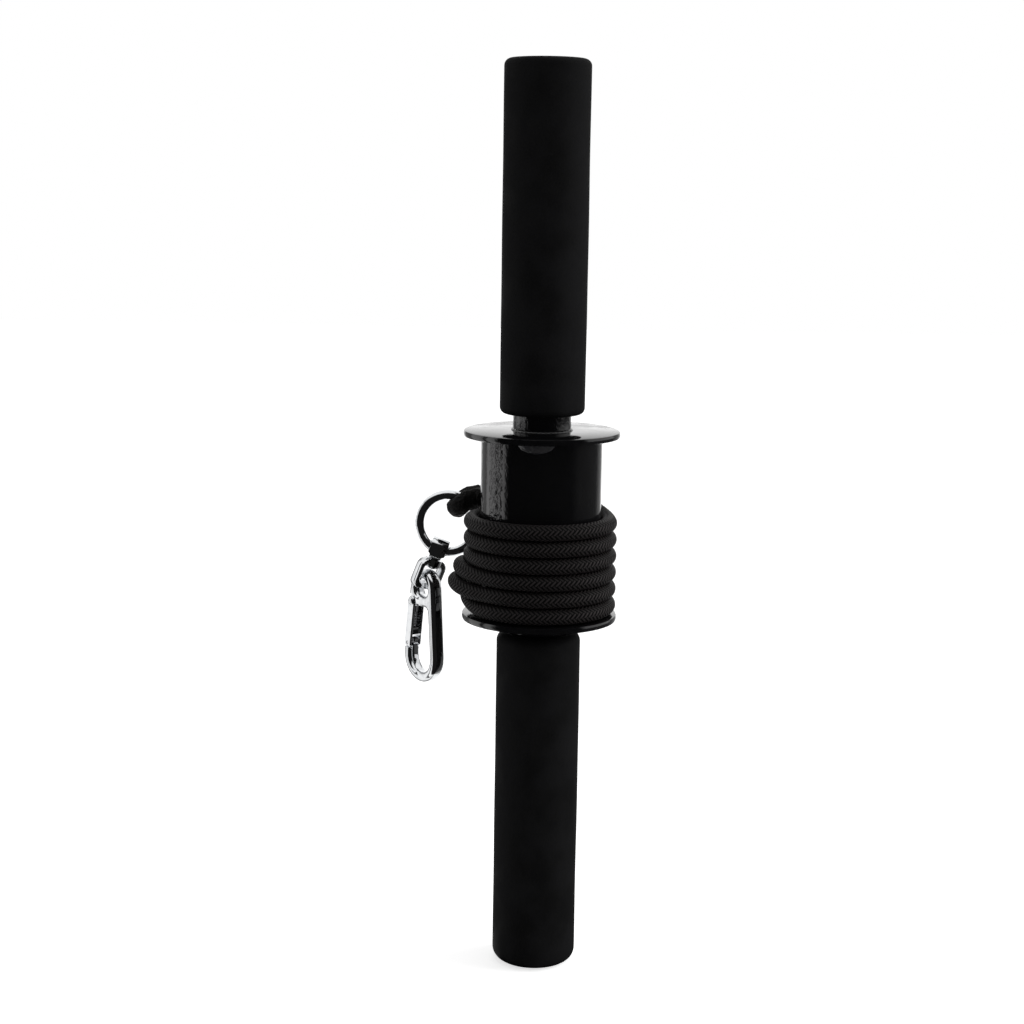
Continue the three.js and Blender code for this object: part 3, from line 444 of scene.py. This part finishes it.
def makeShrinkTube():
    material, tree, shader = newMaterial("shrinkTube", {"IOR": 1.2})
    values = {"Ridge size": 1.6, "Roughness low": 0.5, "Roughness high": 0.72}
    skin = placeGroup(tree, orangePeel, values)
    rough = skin.outputs["Roughness"]
    tree.links.new(rough, shader.inputs["Roughness"])
    colour = mixColours(tree, rough, (0.0025, 0.0025, 0.0025), (0.007, 0.0065, 0.006))
    tree.links.new(colour, shader.inputs["Base Color"])
    addBump(tree, shader, skin.outputs["Height"], 0.25 * mm, 0.8)
    return material


def makePlate(name, dark, light, low, high, depth):
    material, tree, shader = newMaterial(name, {"Metallic": 1.0})
    touch = placeGroup(tree, plateHandling, {"Roughness low": low, "Roughness high": high})
    tree.links.new(mixColours(tree, touch.outputs["Cloud"], light, dark), shader.inputs["Base Color"])
    tree.links.new(touch.outputs["Roughness"], shader.inputs["Roughness"])
    addBump(tree, shader, touch.outputs["Height"], depth * mm, 0.5)
    return material


def makePlugPlastic():
    material, tree, shader = newMaterial("plugPlastic", {"IOR": 1.46})
    grain = placeGroup(tree, foamGrain, {"Cell size": 0.4, "Pore size": 3.0})
    colour = mixColours(tree, grain.outputs["Patch"], (0.018, 0.018, 0.018), (0.028, 0.028, 0.028))
    tree.links.new(colour, shader.inputs["Base Color"])
    shader.inputs["Roughness"].default_value = 0.55
    addBump(tree, shader, grain.outputs["Height"], 0.02 * mm, 0.4)
    return material


drumRun = {"Run angle": -138.0, "Run width": 10.0, "Run depth": 9.0}
# gloss paint: ridge size and depth in mm, lowest and highest roughness, stretch and run
materials = {
    "paint": makeGlossPaint("glossPaint", 1.2, 0.09, 0.07, 0.16, 1.5),
    "drumPaint": makeGlossPaint("drumPaint", 1.6, 0.03, 0.05, 0.12, 1.3, drumRun),
    "flatPaint": makeGlossPaint("flangePaint", 1.4, 0.018, 0.06, 0.14),
    "bead": makeGlossPaint("beadPaint", 1.8, 0.03, 0.08, 0.18),
    # the welds' colour is lifted as painted light, for the light that their rough beads catch
    "weld": makeGlossPaint("weldPaint", 1.9, 0.3, 0.3, 0.5, paintedLight=4.5),
    "foam": makeFoam(),
    "rope": makeRopeCover(),
    "shrink": makeShrinkTube(),
    "plate": makePlate("brightPlate", (0.56, 0.57, 0.585), (0.66, 0.67, 0.68), 0.04, 0.11, 0.012),
    "steel": makePlate("plainSteel", (0.36, 0.36, 0.37), (0.52, 0.52, 0.53), 0.25, 0.42, 0.03),
    "plug": makePlugPlastic(),
}
print("stage: materials")


# ---- geometry node trees ----
def newTree(name, inputs):
    tree = bpy.data.node_groups.new(name, "GeometryNodeTree")
    tree.interface.new_socket("Geometry", in_out="INPUT", socket_type="NodeSocketGeometry")
    for label, kind, value in inputs:
        socket = tree.interface.new_socket(label, in_out="INPUT", socket_type="NodeSocket" + kind)
        if value is not None:
            socket.default_value = value
    tree.interface.new_socket("Geometry", in_out="OUTPUT", socket_type="NodeSocketGeometry")
    return tree, tree.nodes.new("NodeGroupInput"), tree.nodes.new("NodeGroupOutput")


def endTree(tree, geometry, given, made):
    real = addNode(tree, "GeometryNodeRealizeInstances", {0: geometry})
    finish = {"Geometry": real.outputs[0], "Material": given.outputs["Material"]}
    painted = addNode(tree, "GeometryNodeSetMaterial", finish)
    tree.links.new(painted.outputs[0], made.inputs[0])


def makeSmoothTree():
    # welds a CAD node's loose triangles and shades its soft edges smooth
    inputs = [("Join distance", "Float", 0.004 * mm), ("Crease angle", "Float", math.radians(34))]
    tree, given, made = newTree("smoothShading", [*inputs, ("Material", "Material", None)])
    welded = addNode(
        tree,
        "GeometryNodeMergeByDistance",
        {"Geometry": given.outputs[0], "Distance": given.outputs["Join distance"]},
    )
    angle = addNode(tree, "GeometryNodeInputMeshEdgeAngle").outputs[0]
    limits = {0: angle, 1: given.outputs["Crease angle"]}
    soft = addNode(tree, "FunctionNodeCompare", limits, operation="LESS_EQUAL")
    faces = addNode(
        tree,
        "GeometryNodeSetShadeSmooth",
        {"Geometry": welded.outputs[0], "Shade Smooth": True},
        domain="FACE",
    )
    edges = addNode(
        tree,
        "GeometryNodeSetShadeSmooth",
        {"Geometry": faces.outputs[0], "Shade Smooth": soft.outputs[0]},
        domain="EDGE",
    )
    endTree(tree, edges.outputs[0], given, made)
    return tree


def makeRopeTree():
    # sweeps a round section along a path, with a UV map in metres along and once round,
    # and raises the plaited strands on it
    inputs = [("Radius", "Float", 1.0), ("Sides", "Int", 12), ("Step", "Float", 1.0)]
    inputs += [("Strands", "Float", 8.0), ("Stitch", "Float", 2.4)]
    inputs += [("Relief", "Float", 0.0), ("Crown", "Float", 0.0)]
    tree, given, made = newTree("ropeAlongPath", [*inputs, ("Material", "Material", None)])
    line = addNode(tree, "GeometryNodeMeshToCurve", {0: given.outputs[0]})
    even = addNode(tree, "GeometryNodeResampleCurve", {"Curve": line.outputs[0]}, mode="LENGTH")
    tree.links.new(given.outputs["Step"], even.inputs["Length"])
    flat = addNode(tree, "GeometryNodeSetCurveNormal", {0: even.outputs[0]}, mode="Z_UP")
    along = tree.nodes.new("GeometryNodeCaptureAttribute")
    along.capture_items.new("FLOAT", "along")
    tree.links.new(flat.outputs[0], along.inputs[0])
    tree.links.new(addNode(tree, "GeometryNodeSplineParameter").outputs["Length"], along.inputs[1])
    section = addNode(
        tree,
        "GeometryNodeCurvePrimitiveCircle",
        {"Resolution": given.outputs["Sides"], "Radius": given.outputs["Radius"]},
        mode="RADIUS",
    )
    inward = addNode(tree, "GeometryNodeTransform", {"Geometry": section.outputs[0]})
    inward.inputs["Rotation"].default_value = (0, 0, math.pi)  # the map's seam faces the drum
    around = tree.nodes.new("GeometryNodeCaptureAttribute")
    around.capture_items.new("FLOAT", "around")
    tree.links.new(inward.outputs[0], around.inputs[0])
    tree.links.new(addNode(tree, "GeometryNodeSplineParameter").outputs["Factor"], around.inputs[1])
    sweep = addNode(
        tree,
        "GeometryNodeCurveToMesh",
        {"Curve": along.outputs[0], "Profile Curve": around.outputs[0], "Fill Caps": True},
    )
    uv = addNode(tree, "ShaderNodeCombineXYZ", {0: along.outputs[1], 1: around.outputs[1]})
    mapped = addNode(
        tree,
        "GeometryNodeStoreNamedAttribute",
        {"Geometry": sweep.outputs[0], "Name": "UVMap"},
        data_type="FLOAT2",
        domain="CORNER",
    )
    valueSocket = next(s for s in mapped.inputs if s.name == "Value" and s.enabled)
    tree.links.new(uv.outputs[0], valueSocket)
    height, _, _ = plait(
        tree, along.outputs[1], around.outputs[1], given.outputs["Strands"], given.outputs["Stitch"]
    )
    sunk = doMath(tree, "MULTIPLY", doMath(tree, "SUBTRACT", height, 1.0), given.outputs["Relief"])
    raised = doMath(tree, "ADD", sunk, given.outputs["Crown"])
    normal = addNode(tree, "GeometryNodeInputNormal").outputs[0]
    offset = addNode(tree, "ShaderNodeVectorMath", {0: normal}, operation="SCALE")
    tree.links.new(raised, offset.inputs["Scale"])
    moved = {"Geometry": mapped.outputs[0], "Offset": offset.outputs[0]}
    shaped = addNode(tree, "GeometryNodeSetPosition", moved)
    finish = {"Geometry": shaped.outputs[0], "Shade Smooth": True}
    soft = addNode(tree, "GeometryNodeSetShadeSmooth", finish)
    endTree(tree, soft.outputs[0], given, made)
    return tree


def addTree(obj, tree, values):
    modifier = obj.modifiers.new(tree.name, "NODES")
    modifier.node_group = tree
    for item in tree.interface.items_tree:
        if item.item_type == "SOCKET" and item.in_out == "INPUT" and item.name in values:
            modifier[item.identifier] = values[item.name]


def settle(obj):
    # turns what the modifiers make into the object's own mesh
    bpy.context.view_layer.update()
    graph = bpy.context.evaluated_depsgraph_get()
    mesh = bpy.data.meshes.new_from_object(obj.evaluated_get(graph), depsgraph=graph)
    obj.modifiers.clear()
    obj.data = mesh
    mesh.name = obj.name


def newPiece(name, build):
    mesh = bpy.data.meshes.new(name)
    obj = bpy.data.objects.new(name, mesh)
    scene.collection.objects.link(obj)
    shape = bmesh.new()
    build(shape)
    shape.to_mesh(mesh)
    shape.free()
    return obj


def shadeSmooth(obj, degrees):
    for face in obj.data.polygons:
        face.use_smooth = True
    obj.data.set_sharp_from_angle(angle=math.radians(degrees))


def giveMaterial(obj, material):
    obj.data.materials.clear()
    obj.data.materials.append(material)


def mount(obj, slot, *stoodFor):
    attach(obj, "roller")
    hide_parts(*stoodFor)


smoothTree = makeSmoothTree()
ropeTree = makeRopeTree()


# ---- rope ----
def buildRope():
    path = ropePath()

    def line(shape):
        made = [shape.verts.new(p) for p in path]
        for a, b in zip(made, made[1:]):
            shape.edges.new((a, b))

    obj = newPiece("braided_rope", line)
    values = {
        "Radius": ropeRadius * mm,
        "Sides": rope["sides"],
        "Step": rope["step"] * mm,
        "Strands": braid["strands"],
        "Stitch": braid["stitch"],
        "Relief": braid["relief"] * mm,
        "Crown": braid["crown"] * mm,
        "Material": materials["rope"],
    }
    addTree(obj, ropeTree, values)
    settle(obj)
    return obj, path


cloth = {"size": 2.2, "depth": 0.34, "creaseSize": 0.75, "creaseDepth": 0.17}  # of the wrinkled covers


def wrinkle(p):
    # how far a cover stands out at a place given in mm
    lump = noise.noise(p / cloth["size"]) * cloth["depth"]
    return lump + noise.noise(p / cloth["creaseSize"]) * cloth["creaseDepth"]


def sweepShape(points, halves, across, sides):
    # a closed wrinkled skin through points, each with its own half width and half thickness
    def build(shape):
        side = Vector(across)
        rings = []
        for i, p in enumerate(points):
            before, after = points[max(i - 1, 0)], points[min(i + 1, len(points) - 1)]
            along = (after - before).normalized()
            side = (side - along * side.dot(along)).normalized()
            up = along.cross(side)
            wide, thick = halves(i / (len(points) - 1))
            ring = []
            for j in range(sides):
                angle = 2 * math.pi * j / sides
                offset = side * (wide * math.cos(angle)) + up * (thick * math.sin(angle))
                out = wrinkle((p + offset) / mm) * mm
                ring.append(shape.verts.new(p + offset + offset.normalized() * out))
            rings.append(ring)
        closeRings(shape, rings)

    return build


def closeRings(shape, rings):
    sides = len(rings[0])
    for a, b in zip(rings, rings[1:]):
        for j in range(sides):
            k = (j + 1) % sides
            shape.faces.new((a[j], a[k], b[k], b[j]))
    shape.faces.new(list(reversed(rings[0])))
    shape.faces.new(rings[-1])


eyeCover = {
    # half height and half thickness in mm
    "bight": (4.4, 3.4),
    "leg": (4.6, 2.9),
    "inSleeve": (3.7, 2.9),
    "legFrom": 0.35,  # shares of the way from the bight's middle to a leg's end
    "legOver": 0.25,
    "tuckFrom": 0.82,
    "tuckOver": 0.12,
    "sides": 56,
}


def buildRopeEye():
    path, axis = eyePath()

    def halves(t):
        # fullest round the ring, and tucked in where the legs enter the sleeve
        away = abs(t - 0.5) * 2
        onLeg = smooth((away - eyeCover["legFrom"]) / eyeCover["legOver"])
        tucked = smooth((away - eyeCover["tuckFrom"]) / eyeCover["tuckOver"])
        pairs = zip(eyeCover["bight"], eyeCover["leg"], eyeCover["inSleeve"])
        return [(a + (b - a) * onLeg + (c - b) * tucked) * mm for a, b, c in pairs]

    across = Vector((-axis.z, 0, axis.x))
    obj = newPiece("rope_eye_cover", sweepShape(path, halves, across, eyeCover["sides"]))
    shadeSmooth(obj, 60)
    giveMaterial(obj, materials["shrink"])
    return obj


sleeveCover = {
    "mouth": (-28.9, 29.0, 206.9),
    "mouthRun": 3.0,
    "flare": (0.95, 0.45),  # how much wider and taller its mouth is
    "flareShare": 0.45,
    "mouthDip": 1.7,  # how far the mouth's lower lip rises between the two ropes
    "squareness": 3.0,  # of its section
    "dip": 0.55,  # between the two ropes
    "dipWidth": 2.2,
    "endDraw": (0.3, 0.7),  # how far it draws in at its ends, and over what length
    "waist": (0.22, 3.2),  # how far it draws in at its middle, and how sharply
    "lip": 0.9,  # of the wall turned in at each end
    "lipRuns": (2.2, 0.2),  # how far in from the end the lip's two rings lie
    "ragged": (0.55, 1.7, 2.5),  # how far its ends are torn, at what size, over what length
    "rings": 56,
    "sides": 96,
}


def buildSleeve():
    # shrunk over the two ropes side by side, so that it dips between them and creases
    rings, sides = sleeveCover["rings"], sleeveCover["sides"]
    radius = ropeRadius + ropeEnd["sleeveWall"]
    up = sleeveAxis.cross(backward)
    mouth = Vector(sleeveCover["mouth"])
    reach = sleeveAxis * sleeveCover["mouthRun"]
    line = bezier(mouth, mouth + reach, sleeveRight - reach, sleeveRight, rings)
    endDraw, endRun = sleeveCover["endDraw"]
    waist, waistPinch = sleeveCover["waist"]
    torn, tearSize, tearRun = sleeveCover["ragged"]

    def section(i, inset, shift):
        t = i / rings
        flare = 1 - smooth(t / sleeveCover["flareShare"])
        half = ropeEnd["legSpacing"] / 2 + sleeveCover["flare"][0] * flare
        tall = radius + sleeveCover["flare"][1] * flare
        edge = min(t, 1 - t) * ropeEnd["sleeveLength"]
        draw = endDraw * (1 - smooth(edge / endRun)) + inset
        draw += waist * smooth(1 - abs(t - 0.5) * waistPinch)
        for j in range(sides):
            angle = 2 * math.pi * j / sides
            c, s = math.cos(angle), math.sin(angle)
            y = half * math.tanh(sleeveCover["squareness"] * c) + (tall - draw) * c
            dip = sleeveCover["dip"] + sleeveCover["mouthDip"] * flare * max(0.0, -s)
            z = (tall - draw - dip * math.exp(-((y / sleeveCover["dipWidth"]) ** 2))) * s
            spot = line[i] + backward * y + up * z
            out = (backward * y + up * z).normalized() * wrinkle(spot)
            tear = torn * noise.noise(spot / tearSize) * (1 - smooth(edge / tearRun))
            yield (spot + out + sleeveAxis * (tear + shift)) * mm

    def build(shape):
        lip, (deep, near) = sleeveCover["lip"], sleeveCover["lipRuns"]
        plan = [(0, lip, deep), (0, lip, near), *((i, 0, 0) for i in range(rings + 1))]
        plan += [(rings, lip, -near), (rings, lip, -deep)]
        closeRings(shape, [[shape.verts.new(p) for p in section(*step)] for step in plan])

    obj = newPiece("rope_sleeve_cover", build)
    shadeSmooth(obj, 50)
    giveMaterial(obj, materials["shrink"])
    return obj


ropePiece, ropeLine = buildRope()
ropeEye = buildRopeEye()
sleeve = buildSleeve()
mount(ropePiece, "black_rope", "rope_winding", "rope_tail")
mount(ropeEye, "shrink_sleeve", "rope_eye")
mount(sleeve, "shrink_sleeve", "rope_sleeve")
ropeLength = sum((b - a).length for a, b in zip(ropeLine, ropeLine[1:]))
onRope = ["split_ring", "swivel_eye", "swivel_bow", "snap_body", "gate", "gate_rivet"]
onRope += ["gate_plunger", "gate_spring", "latch_pin"]
leadPoint(rope["drumRadius"], 0) * mm
print(f"stage: rope, {ropeLength:.3f} m")


# ---- grips ----
grip = {
    "length": {"lower": 152.0, "upper": 150.9},
    "radius": 18.6,
    "bore": 13.0,
    "endWall": 6.0,
    "corners": {"lower": (5.2, 3.9), "upper": (3.1, 3.0)},  # closed end, open end
    "cornerSteps": 10,
    "sideSteps": 60,
    "mouth": 1.2,
    "mouthSteps": 4,
    "segments": 128,
    "sway": 0.06,  # how far the foam's surface wanders in or out
    "top": 400.0,  # where the upper grip's closed end lies
}


def gripProfile(end):
    # from the middle of the closed end, up the outside and back down the bore
    r, length = grip["radius"], grip["length"][end]
    c, rim = grip["corners"][end]
    steps = grip["cornerSteps"]
    points = [(0.0, 0.0), (r * 0.4, 0.0), (r - c - 1, 0.0)]
    for i in range(steps + 1):
        angle = math.radians(-90 + 90 * i / steps)
        points.append((r - c + c * math.cos(angle), c + c * math.sin(angle)))
    for i in range(1, grip["sideSteps"]):
        points.append((r, c + (length - c - rim) * i / grip["sideSteps"]))
    for i in range(steps + 1):
        angle = math.radians(90 * i / steps)
        points.append((r - rim + rim * math.cos(angle), length - rim + rim * math.sin(angle)))
    bore, mouth, steps = grip["bore"], grip["mouth"], grip["mouthSteps"]
    for i in range(steps + 1):
        angle = math.radians(90 * i / steps)
        out, down = mouth * (1 - math.sin(angle)), mouth * (1 - math.cos(angle))
        points.append((bore + out, length - down))
    points += [(bore, length * 0.5), (bore, grip["endWall"]), (0.0, grip["endWall"])]
    return points


def latheBuild(profile, segments, place, wander):
    # turns a profile of radii and heights, and place puts it on the tube
    def build(shape):
        rings = []
        for r, z in profile:
            if r == 0:
                rings.append([shape.verts.new(place @ Vector((0, 0, z)) * mm)])
                continue
            ring = []
            for j in range(segments):
                angle = 2 * math.pi * j / segments
                far = r + wander(angle, z, r)
                spot = Vector((far * math.cos(angle), far * math.sin(angle), z))
                ring.append(shape.verts.new(place @ spot * mm))
            rings.append(ring)
        for a, b in zip(rings, rings[1:]):
            for j in range(segments):
                k = (j + 1) % segments
                if len(a) == 1:
                    shape.faces.new((a[0], b[k], b[j]))
                elif len(b) == 1:
                    shape.faces.new((a[j], a[k], b[0]))
                else:
                    shape.faces.new((a[j], a[k], b[k], b[j]))
        bmesh.ops.recalc_face_normals(shape, faces=shape.faces)

    return build


def gripWander(angle, z, r):
    # slow waves on the grip's side only
    if r < grip["radius"] - 0.5:
        return 0.0
    slow = math.sin(z * 0.09 + 1.3) * math.sin(2 * angle + z * 0.03)
    return grip["sway"] * (slow + 0.5 * math.sin(3 * angle - z * 0.05))


for end in ("lower", "upper"):
    place = Matrix.Identity(4)
    if end == "upper":
        place = Matrix.Translation((0, 0, grip["top"])) @ Matrix.Rotation(math.pi, 4, "X")
    build = latheBuild(gripProfile(end), grip["segments"], place, gripWander)
    piece = newPiece(f"{end}_foam_grip", build)
    shadeSmooth(piece, 50)
    giveMaterial(piece, materials["foam"])
    mount(piece, "black_foam", f"{end}_grip")
print("stage: grips")


# ---- neck welds ----
neckWeld = {
    "bore": 12.6,
    "seat": 0.35,  # from the CAD bead's foot to its own, which lies on the flange
    "leg": 0.9,
    "ripple": 0.07,
    "ripples": 38,
    "bow": 0.8,  # how far each ripple bows along the bead, in radians
    "wander": 0.1,
    "wanderScale": 2.5,
    "hollow": 1.3,  # 1 is a round bead, 2 a flat one
    "segments": 304,
    "steps": 7,
}


def buildNeckWeld(node):
    # a fine fillet laid round the tube, its foot on the flange
    low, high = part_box(node)
    up = 1 if node.startswith("upper") else -1
    foot = (low[2] if up > 0 else high[2]) / mm - up * neckWeld["seat"]
    bore, hollow = neckWeld["bore"], neckWeld["hollow"]
    segments, steps = neckWeld["segments"], neckWeld["steps"]

    def section(turn):
        spot = Vector((math.cos(turn), math.sin(turn), 0.7 * up))  # so that the two beads differ
        leg = neckWeld["leg"] + neckWeld["wander"] * noise.noise(spot * neckWeld["wanderScale"])
        yield bore, foot
        for i in range(steps + 1):
            angle = math.radians(90 * i / steps)
            lag = neckWeld["bow"] * math.sin(2 * angle)
            far = leg + neckWeld["ripple"] * math.cos(neckWeld["ripples"] * turn - lag)
            out = far * math.cos(angle) ** hollow if i < steps else 0.0
            yield bore + out, foot + up * far * math.sin(angle) ** hollow

    def build(shape):
        rings = []
        for j in range(segments):
            turn = 2 * math.pi * j / segments
            c, s = math.cos(turn), math.sin(turn)
            rings.append([shape.verts.new(Vector((r * c, r * s, z)) * mm) for r, z in section(turn)])
        for a, b in zip(rings, rings[1:] + rings[:1]):
            for i in range(len(a)):
                k = (i + 1) % len(a)
                shape.faces.new((a[i], a[k], b[k], b[i]))
        bmesh.ops.recalc_face_normals(shape, faces=shape.faces)

    obj = newPiece(f"{node}_bead", build)
    shadeSmooth(obj, 50)
    giveMaterial(obj, materials["bead"])
    return obj


for node in ("lower_neck_weld", "upper_neck_weld"):
    mount(buildNeckWeld(node), "black_gloss_paint", node)
print("stage: neck welds")


# ---- CAD nodes that stay, each with its finish ----
finishes = {
    "paint": ["handle_tube"],
    "drumPaint": ["drum_shell"],
    "flatPaint": ["lower_flange", "upper_flange"],
    "weld": [f"upper_tack_weld_{i}" for i in (1, 2, 3)],
    "plate": ["split_ring", "swivel_eye", "swivel_bow", "snap_body", "gate", "gate_rivet"],
    "steel": ["rope_stop", "gate_plunger", "gate_spring", "latch_pin"],
    "plug": ["lower_end_plug", "upper_end_plug"],
}
for finish, names in finishes.items():
    for name in names:
        giveMaterial(nodes[name], materials[finish])
        values = {"Material": materials[finish]}
        if name == "split_ring":
            values["Crease angle"] = math.radians(64)  # its wire's edges are rolled round
        addTree(nodes[name], smoothTree, values)
print("stage: CAD nodes finished")


# ---- studio: pale floor, white surround, soft lamps ----
studio = {
    "floorSize": 8.0,
    "floorDrop": 0.0002,
    "floorGlow": (0.66, 0.95),  # near the object and far from it
    "ambient": 0.3,
    "glossTop": 1.2,
    # what gloss and plate see round the object: degrees rightward from the camera, and the level
    "surround": [
        (-180, 1.35), (-158, 1.25), (-150, 0.35), (-128, 0.3), (-121, 1.1), (-99, 1.35),
        (-95, 0.1), (-90, 0.1), (-86, 1.5), (-74, 1.2), (-68, 0.012), (60, 0.012),
        (74, 0.07), (128, 0.09), (140, 0.35), (152, 0.4), (160, 1.25), (180, 1.35),
    ],
    "brightest": 1.6,
    "rightPanel": {"from": 64.0, "to": 124.0, "soft": 12.0, "level": 0.9},  # above the floor only
    "lamps": [
        # name, place, aims at, width, height, watts
        ("rightSoftbox", (1.25, 0.1, 0.5), (0, 0, 0.22), 1.0, 1.2, 17.0),
        ("leftSoftbox", (-1.3, 0.2, 0.35), (0, 0, 0.22), 1.0, 1.2, 2.2),
        ("topSoftbox", (0.1, 0.2, 1.7), (0, 0, 0.2), 1.0, 1.0, 6.0),
    ],
}


def makeSurround():
    # the studio round the object as gloss sees it: a softbox at the left, white behind, dark in front
    inputs = [("X", 0.0), ("Y", 1.0), ("Right panel", 0.0)]
    tree, given, made = newGroup("studioSurround", inputs, ["Level"])
    toCamera = doMath(tree, "MULTIPLY", given.outputs["Y"], -1.0)
    angle = doMath(tree, "ARCTAN2", given.outputs["X"], toCamera)
    share = doMath(tree, "MULTIPLY_ADD", angle, 0.5 / math.pi, 0.5)
    ramp = addNode(tree, "ShaderNodeValToRGB", {0: share})
    stops = ramp.color_ramp.elements
    stops[0].position, stops[1].position = 0.0, 1.0
    last = len(studio["surround"]) - 1
    for i, (degrees, level) in enumerate(studio["surround"]):
        place = degrees / 360 + 0.5
        stop = stops[0] if i == 0 else stops[len(stops) - 1] if i == last else stops.new(place)
        grey = level / studio["brightest"]
        stop.color = (grey, grey, grey, 1)
    level = doMath(tree, "MULTIPLY", ramp.outputs[0], studio["brightest"])
    panel, turned = studio["rightPanel"], doMath(tree, "DEGREES", angle)
    near = mapRange(tree, turned, panel["from"], panel["from"] + panel["soft"])
    far = mapRange(tree, turned, panel["to"] + panel["soft"], panel["to"])
    lit = doMath(tree, "MULTIPLY", doMath(tree, "MULTIPLY", near, far), given.outputs["Right panel"])
    tree.links.new(doMath(tree, "ADD", level, lit), made.inputs["Level"])
    return tree


def makeWorld():
    # white where the camera looks, and the surround where gloss does
    world = bpy.data.worlds.new("studioWorld")
    scene.world = world
    world.use_nodes = True
    tree = world.node_tree
    background = tree.nodes["Background"]
    path = addNode(tree, "ShaderNodeLightPath")
    toSky = addNode(tree, "ShaderNodeTexCoord").outputs["Generated"]
    x, y, z = addNode(tree, "ShaderNodeSeparateXYZ", {0: toSky}).outputs
    around = placeGroup(tree, studioSurround, {"Right panel": studio["rightPanel"]["level"]})
    tree.links.new(x, around.inputs["X"])
    tree.links.new(y, around.inputs["Y"])
    top = mapRange(tree, z, 0.5, 0.75, 0.0, studio["glossTop"])
    glossy = doMath(tree, "MAXIMUM", around.outputs["Level"], top)
    isCamera, isGlossy = path.outputs["Is Camera Ray"], path.outputs["Is Glossy Ray"]
    isClear = path.outputs["Is Transmission Ray"]
    seen = doMath(tree, "MINIMUM", doMath(tree, "ADD", isCamera, isClear), 1.0)
    direct = doMath(tree, "MINIMUM", doMath(tree, "ADD", seen, isGlossy), 1.0)
    notSeen = doMath(tree, "SUBTRACT", 1.0, direct)
    level = doMath(tree, "MULTIPLY_ADD", glossy, isGlossy, seen)
    level = doMath(tree, "MULTIPLY_ADD", notSeen, studio["ambient"], level)
    tree.links.new(level, background.inputs["Strength"])
    background.inputs["Color"].default_value = (1, 1, 1, 1)


def makeFloor():
    half = studio["floorSize"] / 2

    def build(shape):
        corners = [(-half, -half), (half, -half), (half, half), (-half, half)]
        shape.faces.new([shape.verts.new((x, y, -studio["floorDrop"])) for x, y in corners])

    floor = newPiece("floor", build)
    material, tree, shader = newMaterial("paleFloor", {"Roughness": 0.9, "Emission Color": (1, 1, 1, 1)})
    shader.inputs["Specular IOR Level"].default_value = 0.0
    path = addNode(tree, "ShaderNodeLightPath")
    place = addNode(tree, "ShaderNodeTexCoord").outputs["Object"]
    x, y, _ = addNode(tree, "ShaderNodeSeparateXYZ", {0: place}).outputs
    around = placeGroup(tree, studioSurround, {})
    tree.links.new(x, around.inputs["X"])
    tree.links.new(y, around.inputs["Y"])
    isGlossy = path.outputs["Is Glossy Ray"]
    colour = mixColours(tree, isGlossy, (0.9, 0.9, 0.9), (0.0, 0.0, 0.0))
    tree.links.new(colour, shader.inputs["Base Color"])
    away = addNode(tree, "ShaderNodeVectorMath", {0: place}, operation="LENGTH").outputs["Value"]
    glow = mapRange(tree, away, 0.5, 2.5, *studio["floorGlow"])
    seen = doMath(tree, "ADD", path.outputs["Is Camera Ray"], path.outputs["Is Transmission Ray"])
    shown = doMath(tree, "MULTIPLY", seen, glow)
    shown = doMath(tree, "MULTIPLY_ADD", isGlossy, around.outputs["Level"], shown)
    tree.links.new(shown, shader.inputs["Emission Strength"])
    giveMaterial(floor, material)


def makeLamps():
    for name, place, aim, width, height, watts in studio["lamps"]:
        data = bpy.data.lights.new(name, "AREA")
        data.shape = "RECTANGLE"
        data.size, data.size_y, data.energy = width, height, watts
        lamp = bpy.data.objects.new(name, data)
        scene.collection.objects.link(lamp)
        lamp.location = place
        lamp.rotation_mode = "QUATERNION"
        lamp.rotation_quaternion = (Vector(aim) - Vector(place)).to_track_quat("-Z", "Y")
        lamp.visible_glossy = False  # gloss sees the surround instead


studioSurround = makeSurround()
makeWorld()
makeFloor()
makeLamps()
scene.view_settings.view_transform = "Standard"
print("stage: studio")
